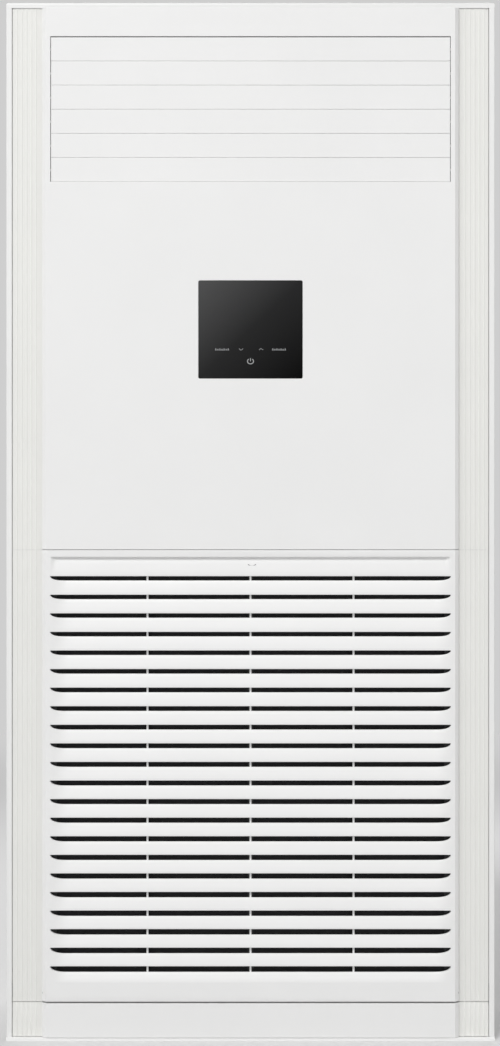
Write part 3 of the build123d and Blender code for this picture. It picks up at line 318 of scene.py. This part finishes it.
def make_materials():
    """The record's material slots, and own materials for some nodes under the nodes' names."""
    return {
        "panel_white": surface("panel_white", PANEL_WHITE, 0.42, vary=0.008, grain=1400,
                               painted_shade=0.03),
        "strip_white": surface("strip_white", STRIP_WHITE, 0.45, vary=0.01, grain=1400,
                               painted_shade=0.06),
        "kick_panel": make_kick(),
        # Painted light: the base pan is the same white sheet, painted lighter than sheet_white so
        # its lip by the floor looks lit
        "base_pan": surface("base_pan", (0.90, 0.90, 0.895), 0.45, vary=0.01, grain=700,
                            depth=COARSE_GRAIN, strength=0.4),
        "sheet_white": surface("sheet_white", (0.835, 0.835, 0.830), 0.5, vary=0.01,
                               grain=700, depth=COARSE_GRAIN, strength=0.4, painted_shade=0.06),
        "zinc": galvanised("zinc"),
        "impeller": surface("impeller", (0.085, 0.087, 0.090), 0.42, vary=0.08),
        "display_black": make_display_glass(),
        "black_plastic": surface("black_plastic", (0.028, 0.028, 0.030), 0.55, vary=0.1),
        "grey_plastic": surface("grey_plastic", (0.20, 0.205, 0.21), 0.5, vary=0.05),
        # A dark filter frame, made near black so that it also serves as painted shade behind the
        # slots' tips
        "filter_frame": surface("filter_frame", (0.030, 0.031, 0.032), 0.55, vary=0.08),
        "mesh_dark": woven("mesh_dark", (0.010, 0.010, 0.011), (0.05, 0.052, 0.055), 420),
        "fins": make_fins(),
        "copper": surface("copper", (0.78, 0.40, 0.25), 0.3, metal=1.0, vary=0.12, patch=25),
        "circuit": surface("circuit", (0.03, 0.12, 0.05), 0.35, vary=0.15, patch=60, coat=0.4),
        "rubber": surface("rubber", (0.03, 0.03, 0.03), 0.75, vary=0.15, depth=0.0001),
        "steel": surface("steel", (0.50, 0.51, 0.53), 0.32, metal=1.0, vary=0.06,
                         stretch=(1, 1, 12)),
    }


MATERIALS = make_materials()


def node_objects(name):
    """The mesh objects of a CAD node."""
    node = frame["nodes"][name]
    return [item for item in [node, *node.children_recursive] if item.type == "MESH"]


def finish_nodes():
    """Each carried-over node takes its own or its slot's material; some get rounded edges."""
    slots = {row["node"]: row["material_slot"] for row in frame["record"]["subparts"]}
    rounded = {"upper_panel": 0.45, "kick_panel": 0.45, "top_cover": 0.25,
               "side_panel_left": 0.4, "side_panel_right": 0.4, "base_pan": 0.4}
    rounded |= {f"louvre_{i}": 0.3 for i in range(1, 7)}
    for name in frame["nodes"]:
        for mesh in node_objects(name):
            if not mesh.material_slots:
                mesh.data.materials.append(None)
            for place in mesh.material_slots:
                place.material = MATERIALS.get(name) or MATERIALS[slots[name]]
            width = rounded.get(name, 0.0)
            if width:
                weld = mesh.modifiers.new("weld", "WELD")
                weld.merge_threshold = WELD_REACH
                bevel = mesh.modifiers.new("edge", "BEVEL")
                bevel.width = width * MM
                bevel.segments = 2
                bevel.limit_method = "ANGLE"
                bevel.angle_limit = BEVEL_ANGLE


finish_nodes()


# ---- Mesh helpers -------------------------------------------------------------------------
def make_object(name, mesh_data, material, body):
    """A piece of the object, with its faces turned outwards, that rides on a body."""
    bmesh.ops.recalc_face_normals(mesh_data, faces=mesh_data.faces)
    mesh = bpy.data.meshes.new(name)
    mesh_data.to_mesh(mesh)
    mesh_data.free()
    piece = bpy.data.objects.new(name, mesh)
    bpy.context.scene.collection.objects.link(piece)
    mesh.materials.append(material)
    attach(piece, body)
    return piece


def add_prism(data, points, y_front, y_back):
    """An upright outline in X and Z, given depth along Y."""
    front = [data.verts.new((x, y_front, z)) for x, z in points]
    back = [data.verts.new((x, y_back, z)) for x, z in points]
    count = len(points)
    data.faces.new(front)
    data.faces.new(back[::-1])
    for i in range(count):
        j = (i + 1) % count
        data.faces.new((front[j], front[i], back[i], back[j]))


def smooth(piece, angle=math.pi):
    """Shades a piece smooth, but for edges sharper than an angle."""
    for face in piece.data.polygons:
        face.use_smooth = True
    if angle < math.pi:
        piece.data.set_sharp_from_angle(angle=angle)


def ring_points(radius, steps):
    """Places around a circle."""
    angles = [2 * math.pi * i / steps for i in range(steps)]
    return [(radius * math.cos(angle), radius * math.sin(angle)) for angle in angles]


def join_rings(data, first, second):
    """A band of faces between two rings of as many points."""
    count = len(first)
    for i in range(count):
        j = (i + 1) % count
        data.faces.new((first[i], first[j], second[j], second[i]))


# ---- Intake panel --------------------------------------------------------------------------
SLOTS, SLOT_PITCH = 22, 0.0334
SLOT_TOP = 0.8365                  # upper edge of the top slot above the floor
SLOT_HEIGHTS = (0.0078, 0.0112)    # opening of the top slot and of the last one
SLOT_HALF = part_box("intake_panel")[1][0] - 0.0145
SLOT_CURVES = (0.024, 0.031)       # length of the curve at the ends of the same two slots
TIP_POWER = 2.6                    # above 2 the slots' tips are blunter than an ellipse
GRILLE_TOP, GRILLE_LOW = 0.8715, 0.1059
GRILLE_HALF = SLOT_HALF + 0.005
BLADE_SET, BLADE_SLAB = 0.0062, 0.0080   # sink of a blade's upper edge; thickness of the grille
BACK_SET = 0.0045                  # how far a blade's back comes forward at its lower edge
BLADE_BOW = 1.35                   # above 1 the slope is steeper near the upper edge
STEP_HEIGHT, STEP_END = 0.0018, 0.010   # soft step above the first blade; fade at its ends
ROUND_UPPER, ROUND_LOWER = 0.0012, 0.0007   # rounding of a blade's upper and lower edges
RIB_X, RIB_HALF, RIB_SINK = 0.5146 * SLOT_HALF, 0.0017, 0.006
RIB_INSET, RIB_DEPTH = 0.002, 0.012   # the ribs end inside the blades, and reach behind them
PANEL_EDGE = 0.35 * MM             # rounding of the moulding's outer edges


def smooth_share(value):
    """0 to 1 with a soft start and end."""
    value = min(max(value, 0.0), 1.0)
    return value * value * (3 - 2 * value)


def end_fade(x, length=SLOT_CURVES[1]):
    """1 along a blade's straight part, falling to 0 at the slots' tips."""
    return smooth_share((SLOT_HALF - abs(x)) / length)


def between(pair, index):
    """A size that grows evenly from the top slot to the last one."""
    return pair[0] + (pair[1] - pair[0]) * index / (SLOTS - 1)


def slot_opening(x, index):
    """Height of a slot at a place along it; the lower edge curves up to the tip."""
    curve = between(SLOT_CURVES, index)
    past = max(0.0, (abs(x) - SLOT_HALF + curve) / curve)
    return between(SLOT_HEIGHTS, index) * math.sqrt(max(0.0, 1 - past ** TIP_POWER))


def round_off(distance, radius):
    """How far a rounded edge has dropped at a distance from it."""
    if radius <= 0 or distance >= radius:
        return 0.0
    return radius - math.sqrt(radius ** 2 - (radius - distance) ** 2)


def blade_rows():
    """Places down a blade: shares of the rounding at both edges and of the slope between."""
    upper = [("upper", share) for share in (0.0, 0.12, 0.4, 1.0)]
    slope = [("slope", i / 6) for i in range(1, 6)]
    return upper + slope + [("lower", share) for share in (1.0, 0.4, 0.12, 0.0)]


def blade_point(x, top, bottom, row, opens_above, opens_below):
    """Place on a blade's face; top and bottom are its edges' heights at x."""
    kind, share = row
    upper = ROUND_UPPER * (end_fade(x) ** 0.5 if opens_above else 1.0)
    lower = ROUND_LOWER * (end_fade(x) ** 0.5 if opens_below else 1.0)
    if not opens_above:
        upper = STEP_HEIGHT
    fall = {"upper": upper * share, "lower": (top - bottom) - lower * share,
            "slope": upper + (top - bottom - upper - lower) * share}[kind]
    fade = end_fade(x) if opens_above else end_fade(x, STEP_END)
    depth = BLADE_SET * fade * (1 - fall / (top - bottom)) ** BLADE_BOW
    if opens_above:
        depth += round_off(fall, upper)
    else:
        depth *= smooth_share(fall / STEP_HEIGHT)
    if opens_below:
        depth += round_off(top - bottom - fall, lower)
    return (x, FRONT + depth, top - fall)


def grille_columns():
    """Places along X at which the blades are drawn, close together round the tips."""
    flat = SLOT_HALF - SLOT_CURVES[1]
    curve = [flat + SLOT_CURVES[1] * math.sin(math.radians(angle)) for angle in range(6, 91, 6)]
    right = [0.0, flat / 2, flat] + curve + [GRILLE_HALF]
    return [-x for x in right[:0:-1]] + right


def add_blade(data, index):
    """One blade with its front, back, and the walls of the slots above and below it."""
    first, last = index == 0, index == SLOTS
    above, below = index - 1, index
    rows = blade_rows()
    fronts, backs = [], []
    for x in grille_columns():
        top = GRILLE_TOP if first else SLOT_TOP - above * SLOT_PITCH - slot_opening(x, above)
        bottom = GRILLE_LOW if last else SLOT_TOP - below * SLOT_PITCH
        fronts.append([data.verts.new(blade_point(x, top, bottom, row, not first, not last))
                       for row in rows])
        thin = 0.0 if first or last else BACK_SET * end_fade(x)
        back = FRONT + BLADE_SLAB
        backs.append([data.verts.new((x, back, top)), data.verts.new((x, back - thin, bottom))])
    for i in range(len(fronts) - 1):
        for j in range(len(rows) - 1):
            data.faces.new((fronts[i][j], fronts[i][j + 1], fronts[i + 1][j + 1],
                            fronts[i + 1][j]))
        data.faces.new((backs[i][0], backs[i + 1][0], backs[i + 1][1], backs[i][1]))
        inside = min(abs(fronts[i][0].co.x), abs(fronts[i + 1][0].co.x)) < SLOT_HALF - WELD_REACH
        if inside and not first:
            data.faces.new((fronts[i][0], fronts[i + 1][0], backs[i + 1][0], backs[i][0]))
        if inside and not last:
            data.faces.new((fronts[i][-1], backs[i][1], backs[i + 1][1], fronts[i + 1][-1]))


def node_mesh(name):
    """A welded copy of a CAD node's mesh."""
    data = bmesh.new()
    for item in node_objects(name):
        data.from_mesh(item.data)
    bmesh.ops.remove_doubles(data, verts=data.verts, dist=WELD_REACH)
    return data


def copy_without_grille():
    """The intake panel's own mesh with the grille's rectangle cut out of it."""
    data = node_mesh("intake_panel")
    back = FRONT + BLADE_SLAB
    for place, axis in (((-GRILLE_HALF, 0, 0), (1, 0, 0)), ((GRILLE_HALF, 0, 0), (1, 0, 0)),
                        ((0, 0, GRILLE_LOW), (0, 0, 1)), ((0, 0, GRILLE_TOP), (0, 0, 1)),
                        ((0, back, 0), (0, 1, 0))):
        everything = data.verts[:] + data.edges[:] + data.faces[:]
        bmesh.ops.bisect_plane(data, geom=everything, plane_co=place, plane_no=axis,
                               dist=SEAM_REACH / 4)
    margin = 2 * WELD_REACH
    doomed = []
    for face in data.faces:
        centre = face.calc_center_median()
        wide, high = abs(centre.x), centre.z
        grille = (wide < GRILLE_HALF - margin and centre.y < back + margin
                  and GRILLE_LOW + margin < high < GRILLE_TOP - margin)
        rib = (min(abs(wide - RIB_X), wide) < RIB_HALF + margin and centre.y > back + margin
               and GRILLE_LOW - margin < high < GRILLE_TOP + margin)
        if grille or rib:
            doomed.append(face)
    bmesh.ops.delete(data, geom=doomed, context="FACES")
    # Only the moulding's own outer edges are rounded
    weight = data.edges.layers.float.new("bevel_weight_edge")
    for edge in data.edges:
        if len(edge.link_faces) == 2 and edge.calc_face_angle() > BEVEL_ANGLE:
            edge[weight] = 1.0
    return data


def join_seams(data):
    """Splits each open edge where another open edge ends on it, and welds the two."""
    bmesh.ops.remove_doubles(data, verts=data.verts, dist=SEAM_REACH)
    bmesh.ops.dissolve_degenerate(data, dist=SEAM_REACH, edges=data.edges)
    loose = [edge for edge in data.edges if edge.is_boundary]
    ends = [vert.co.copy() for vert in data.verts if vert.is_boundary]
    for edge in loose:
        start, finish = edge.verts
        origin, line = start.co.copy(), finish.co - start.co
        length = line.length
        hits = []
        for place in ends:
            along = (place - origin).dot(line) / length
            if SEAM_REACH < along < length - SEAM_REACH:
                if (origin + line * (along / length) - place).length < SEAM_REACH:
                    hits.append((along, place))
        for along, place in sorted(hits, key=lambda hit: hit[0]):
            _, vert = bmesh.utils.edge_split(edge, start, 0.5)
            vert.co = place
            edge = next(other for other in vert.link_edges if finish in other.verts)
            start = vert
    bmesh.ops.remove_doubles(data, verts=data.verts, dist=SEAM_REACH)
    many_sided = [face for face in data.faces if len(face.verts) > 4]
    bmesh.ops.poke(data, faces=many_sided, center_mode="MEAN")


def add_rib(data, x):
    """A closed bar behind the blades that ties them together."""
    low = (x - RIB_HALF, FRONT + RIB_SINK, GRILLE_LOW + RIB_INSET)
    high = (x + RIB_HALF, FRONT + RIB_DEPTH, GRILLE_TOP - RIB_INSET)
    corners = [data.verts.new((px, py, pz)) for px in (low[0], high[0])
               for py in (low[1], high[1]) for pz in (low[2], high[2])]
    for side in ((0, 1, 5, 4), (0, 2, 3, 1), (4, 5, 7, 6), (2, 6, 7, 3), (0, 4, 6, 2),
                 (1, 3, 7, 5)):
        data.faces.new([corners[k] for k in side])


def make_intake_panel():
    """The intake panel: its own outer moulding round a finer grille."""
    data = copy_without_grille()
    for index in range(SLOTS + 1):
        add_blade(data, index)
    join_seams(data)
    for x in (-RIB_X, 0, RIB_X):
        add_rib(data, x)
    panel = make_object("intake_face", data, MATERIALS["panel_white"], "intake_door")
    smooth(panel, SHARP_ANGLE)
    bevel = panel.modifiers.new("edge", "BEVEL")
    bevel.width = PANEL_EDGE
    bevel.segments = 2
    bevel.limit_method = "WEIGHT"
    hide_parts("intake_panel")


make_intake_panel()


# ---- Display marks ------------------------------------------------------------------------
def stroke(data, path, width, y_front, y_back):
    """A flat line of constant width along a path of X and Z points."""
    left, right = [], []
    for i, point in enumerate(path):
        before, after = path[max(i - 1, 0)], path[min(i + 1, len(path) - 1)]
        run = Vector((after[0] - before[0], after[1] - before[1])).normalized()
        side = Vector((-run.y, run.x)) * width / 2
        left.append((point[0] + side.x, point[1] + side.y))
        right.append((point[0] - side.x, point[1] - side.y))
    add_prism(data, left + right[::-1], y_front, y_back)


def arc_path(cx, cz, radius_x, radius_z, start, end, steps=14):
    """Points along an oval arc, its ends in degrees."""
    angles = [math.radians(start + (end - start) * i / steps) for i in range(steps + 1)]
    return [(cx + radius_x * math.cos(a), cz + radius_z * math.sin(a)) for a in angles]


MARK_ROW, STANDBY_ROW = 349.3, 361.3       # photo rows of the marks and the standby sign
BAR_COLUMNS, ARROW_COLUMNS = (222, 279), ((241, -1), (261, 1))   # arrows: down, then up
MARK_THIN, MARK_RISE, MARK_SINK = 0.0011, 0.00012, 0.0002
BARS, BAR_PITCH, BAR_HALF, BAR_DROP = 7, 0.0037, 0.0013, 0.0012
BAR_TALL, BAR_LOW = 0.0030, 0.0019         # every other bar is lower
ARROW_HALF, ARROW_DROP, ARROW_RISE = 0.0038, 0.0012, 0.0016
STANDBY_RADIUS = 0.0046


def make_display_marks():
    """Generic touch marks: two groups of bars, two arrows and a standby sign."""
    data = bmesh.new()
    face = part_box("display_glass")[0][1]
    depth = (face - MARK_RISE, face + MARK_SINK)
    row = photo_z(MARK_ROW)
    foot = row - BAR_DROP
    for column in BAR_COLUMNS:
        for i in range(BARS):
            x = photo_x(column) + (i - (BARS - 1) / 2) * BAR_PITCH
            tall = BAR_TALL if i % 2 == 0 else BAR_LOW
            stroke(data, [(x - BAR_HALF, foot), (x + BAR_HALF, foot)], MARK_THIN, *depth)
            stroke(data, [(x, foot), (x, foot + tall)], MARK_THIN, *depth)
    for column, flip in ARROW_COLUMNS:
        x = photo_x(column)
        stroke(data, [(x - ARROW_HALF, row - flip * ARROW_DROP), (x, row + flip * ARROW_RISE),
                      (x + ARROW_HALF, row - flip * ARROW_DROP)], MARK_THIN * 0.7, *depth)
    cx, cz, radius = photo_x(CENTRE_COLUMN), photo_z(STANDBY_ROW), STANDBY_RADIUS
    stroke(data, arc_path(cx, cz, radius * 1.2, radius, 125, 415), MARK_THIN * 1.2, *depth)
    stroke(data, [(cx, cz), (cx, cz + radius * 1.25)], MARK_THIN, *depth)
    mark = glowing("display_mark", (0.42, 0.43, 0.44), 0.10)
    make_object("display_marks", data, mark, "cabinet")


make_display_marks()


# ---- Small shapes on the cabinet -----------------------------------------------------------
PRESS_COLUMN, PRESS_ROW = 252, 563.5       # photo place of the press mark
PRESS_RADII, PRESS_THIN = (0.0075, 0.0040), 0.0012
PRESS_RISE, PRESS_SINK = 0.0007, 0.001
SCREW_RADIUS, SCREW_INSET, SCREW_SINK = 0.0042, 0.010, 0.0002
SCREW_ROWS, SCREW_FOOT, SCREW_SPAN = 6, 0.04, TOP - 0.075
LOW_SCREWS, LOW_SCREW_HEIGHT = (-0.28, 0.0, 0.28), 0.022
# A screw's sizes as shares of its radius: rings of the head, then its cross recess
HEAD_RINGS = ((1.0, 0.0), (1.0, 0.25), (0.86, 0.48), (0.5, 0.62))
CROSS_ARM, CROSS_HALF, CROSS_FLOOR, CROWN = 0.34, 0.09, 0.30, 0.62
HEAD_STEPS, PLUG_STEPS = 20, 28
PLUG_GAP = 0.00005                         # between a plug's flange and the rear sheet


def make_press_mark():
    """Raised curved ridge that shows where the intake panel is pressed open."""
    data = bmesh.new()
    cx, cz = photo_x(PRESS_COLUMN), photo_z(PRESS_ROW)
    fall = (GRILLE_TOP - cz) / (GRILLE_TOP - SLOT_TOP)
    face = FRONT + BLADE_SET * (1 - fall) ** BLADE_BOW
    stroke(data, arc_path(cx, cz, *PRESS_RADII, 200, 340), PRESS_THIN, face - PRESS_RISE,
           face + PRESS_SINK)
    make_object("press_mark", data, MATERIALS["grey_plastic"], "intake_door")


def cross_outline():
    """A plus sign as 12 points, clockwise."""
    arm, half = CROSS_ARM, CROSS_HALF
    quarter = ((half, arm), (half, half), (arm, half))
    points = []
    for _ in range(4):
        points += quarter
        quarter = tuple((z, -x) for x, z in quarter)
    return points


def add_screw(data, centre, radius):
    """Pan head with a cross recess, facing backwards."""
    def point(x, z, rise):
        return data.verts.new(centre + Vector((-x, rise, z)) * radius)

    rows = [[point(x, z, rise) for x, z in ring_points(share, HEAD_STEPS)]
            for share, rise in HEAD_RINGS]
    for low, high in zip(rows, rows[1:]):
        join_rings(data, low, high)
    rim = [point(x, z, CROWN) for x, z in cross_outline()]
    pit = [point(x, z, CROSS_FLOOR) for x, z in cross_outline()]
    join_rings(data, rim, pit)
    data.faces.new(pit)
    edges = [data.edges.get((ring[i - 1], ring[i])) for ring in (rim, rows[-1])
             for i in range(len(ring))]
    bmesh.ops.triangle_fill(data, edges=edges, use_beauty=True)
    data.faces.new(rows[0][::-1])


def make_screws():
    """Screws of the rear sheet: up both sides and along its foot."""
    data = bmesh.new()
    heights = [SCREW_FOOT + i * SCREW_SPAN / (SCREW_ROWS - 1) for i in range(SCREW_ROWS)]
    places = [(side * (SIDE - SCREW_INSET), z) for side in (-1, 1) for z in heights]
    places += [(x, LOW_SCREW_HEIGHT) for x in LOW_SCREWS]
    for x, z in places:
        add_screw(data, Vector((x, BACK - SCREW_SINK, z)), SCREW_RADIUS)
    make_object("cabinet_screws", data, MATERIALS["steel"], "cabinet")


def make_anchor_plugs():
    """Caps in the rear sheet's two wall-anchor holes, pressed in from inside."""
    data = bmesh.new()
    inner = BACK - SHEET - PLUG_GAP
    # Radius as a share of the hole's, and place along Y, from the outside inwards
    profile = ((0.86, BACK - 0.0004), (0.97, BACK - 0.0007), (0.97, inner), (1.5, inner),
               (1.5, inner - 0.0008), (1.3, inner - 0.0014))
    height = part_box("top_cover")[0][2] - ANCHOR_DROP
    for middle in (-ANCHOR_SPACING / 2, ANCHOR_SPACING / 2):
        rings = [[data.verts.new((middle + x, y, height + z))
                  for x, z in ring_points(share * ANCHOR_HOLE, PLUG_STEPS)]
                 for share, y in profile]
        for first, second in zip(rings, rings[1:]):
            join_rings(data, first, second)
        data.faces.new(rings[0])
        data.faces.new(rings[-1][::-1])
    plugs = make_object("anchor_plugs", data, MATERIALS["rubber"], "cabinet")
    smooth(plugs, SHARP_ANGLE)


make_press_mark()
make_screws()
make_anchor_plugs()


# ---- Evaporator ------------------------------------------------------------------------------
BEND_TUBE, BEND_OUT = 0.005, 0.0015        # radius of the tube; its start past the fins' side
BEND_STEPS, TUBE_STEPS = 12, 10


def add_bend(data, centre, across, along, radius):
    """Half ring of tube in the plane of two directions."""
    side = across.cross(along).normalized()
    rings = []
    for i in range(BEND_STEPS + 1):
        angle = math.pi * i / BEND_STEPS
        out = across * math.cos(angle) + along * math.sin(angle)
        middle = centre + out * radius
        rings.append([data.verts.new(middle + out * x + side * z)
                      for x, z in ring_points(BEND_TUBE, TUBE_STEPS)])
    for first, second in zip(rings, rings[1:]):
        join_rings(data, first, second)
    data.faces.new(rings[0][::-1])
    data.faces.new(rings[-1])


def make_bends():
    """Copper return bends at both ends of the leaning fin pack."""
    data = bmesh.new()
    low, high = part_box("coil_fins")
    lean = math.atan2(high[1] - low[1] - COIL_THICK, high[2] - low[2])
    up = Vector((0, math.sin(lean), math.cos(lean)))
    depth = Vector((0, math.cos(lean), -math.sin(lean)))
    half = COIL_THICK / 2
    foot = Vector((0, low[1] + half * math.cos(lean), low[2] + half * math.sin(lean)))
    length = (high[2] - low[2] - COIL_THICK * math.sin(lean)) / math.cos(lean)
    step = length / COIL_TUBES
    for side in (-1, 1):
        # On the right the bends join the tubes in between, so there is one less
        first, count = (1, COIL_TUBES // 2) if side < 0 else (2, COIL_TUBES // 2 - 1)
        for row in (-COIL_THICK / 4, COIL_THICK / 4):
            for i in range(count):
                centre = foot + up * step * (first + 2 * i) + depth * row
                centre.x = side * (high[0] + BEND_OUT)
                add_bend(data, centre, up, Vector((side, 0, 0)), step / 2)
    smooth(make_object("return_bends", data, MATERIALS["copper"], "cabinet"))


make_bends()


# ---- Studio -------------------------------------------------------------------------------
def make_floor_material():
    """Pale floor; far from the object the camera sees the background's own tone."""
    n = Nodes("studio_floor")
    n.shader.inputs["Roughness"].default_value = 0.75
    drift = n.noise(1.2, 3.0)
    n.link(n.tint(drift, shade(FLOOR_COLOUR, 0.99), FLOOR_COLOUR), n.shader.inputs["Base Color"])
    reach = n.add("ShaderNodeVectorMath", operation="LENGTH")
    n.link(n.place, reach.inputs[0])
    fade = n.add("ShaderNodeMapRange", interpolation_type="SMOOTHSTEP")
    fade.inputs["From Min"].default_value = FADE_START
    fade.inputs["From Max"].default_value = FADE_END
    n.link(reach.outputs["Value"], fade.inputs["Value"])
    path = n.add("ShaderNodeLightPath")
    seen = n.add("ShaderNodeMath", operation="MULTIPLY")
    n.link(fade.outputs["Result"], seen.inputs[0])
    n.link(path.outputs["Is Camera Ray"], seen.inputs[1])
    glow = n.add("ShaderNodeEmission", Strength=BACKDROP)
    mix = n.add("ShaderNodeMixShader")
    n.link(seen.outputs[0], mix.inputs[0])
    n.link(n.shader.outputs[0], mix.inputs[1])
    n.link(glow.outputs[0], mix.inputs[2])
    n.link(mix.outputs[0], n.tree.nodes["Material Output"].inputs["Surface"])
    return n.material


def make_floor():
    """A wide flat floor, which isn't part of the object."""
    data = bmesh.new()
    corners = [data.verts.new((x * FLOOR_SIZE, y * FLOOR_SIZE, 0.0)) for x, y in
               ((-1, -1), (1, -1), (1, 1), (-1, 1))]
    data.faces.new(corners)
    mesh = bpy.data.meshes.new("studio_floor")
    data.to_mesh(mesh)
    data.free()
    floor = bpy.data.objects.new("studio_floor", mesh)
    bpy.context.scene.collection.objects.link(floor)
    mesh.materials.append(make_floor_material())


def make_light(name, place, target, size, power):
    """A square lamp that looks at a target."""
    lamp = bpy.data.lights.new(name, "AREA")
    lamp.energy = power
    lamp.size = size
    holder = bpy.data.objects.new(name, lamp)
    bpy.context.scene.collection.objects.link(holder)
    holder.location = place
    holder.rotation_euler = (Vector(target) - Vector(place)).to_track_quat("-Z", "Y").to_euler()


def make_world():
    """Even light all round, with a plain pale background."""
    world = bpy.data.worlds.new("studio")
    bpy.context.scene.world = world
    world.use_nodes = True
    tree = world.node_tree
    lit = tree.nodes["Background"]
    lit.inputs["Color"].default_value = (1.0, 0.995, 0.985, 1)
    lit.inputs["Strength"].default_value = WORLD
    # What the camera, mirrors and glass see behind the object is a plain pale tone
    seen = tree.nodes.new("ShaderNodeBackground")
    seen.inputs["Color"].default_value = (1, 1, 1, 1)
    seen.inputs["Strength"].default_value = BACKDROP
    path = tree.nodes.new("ShaderNodeLightPath")
    rays = path.outputs["Is Camera Ray"]
    for other in ("Is Glossy Ray", "Is Transmission Ray"):
        either = tree.nodes.new("ShaderNodeMath")
        either.operation = "MAXIMUM"
        tree.links.new(rays, either.inputs[0])
        tree.links.new(path.outputs[other], either.inputs[1])
        rays = either.outputs[0]
    mix = tree.nodes.new("ShaderNodeMixShader")
    tree.links.new(rays, mix.inputs[0])
    tree.links.new(lit.outputs[0], mix.inputs[1])
    tree.links.new(seen.outputs[0], mix.inputs[2])
    tree.links.new(mix.outputs[0], tree.nodes["World Output"].inputs["Surface"])


def make_camera():
    """A level camera whose frame at the front face is the photograph's."""
    camera = bpy.data.cameras.new("photo_camera")
    camera.lens = SENSOR * CAMERA_DISTANCE / (PHOTO_H * PHOTO_SCALE)
    camera.sensor_width = SENSOR
    holder = bpy.data.objects.new("photo_camera", camera)
    bpy.context.scene.collection.objects.link(holder)
    holder.location = (photo_x(PHOTO_W / 2), FRONT - CAMERA_DISTANCE, photo_z(PHOTO_H / 2))
    holder.rotation_euler = (math.radians(90), 0, 0)
    camera.clip_end = 2.5 * FLOOR_SIZE
    bpy.context.scene.camera = holder


make_floor()
make_world()
make_light("key", (-3.6, -3.0, 2.5), (0, 0, 1.2), 2.4, KEY)
make_light("fill", (3.6, -2.8, 2.2), (0, 0, 1.1), 2.4, FILL)
make_light("front", (-2.8, -9.0, 11.6), (0, 0, 0.7), 3.4, FACE)
make_light("back", (0.5, 3.0, 2.8), (0, 0, 1.1), 2.0, BACK_LIGHT)
make_camera()
bpy.context.scene.view_settings.view_transform = "Standard"
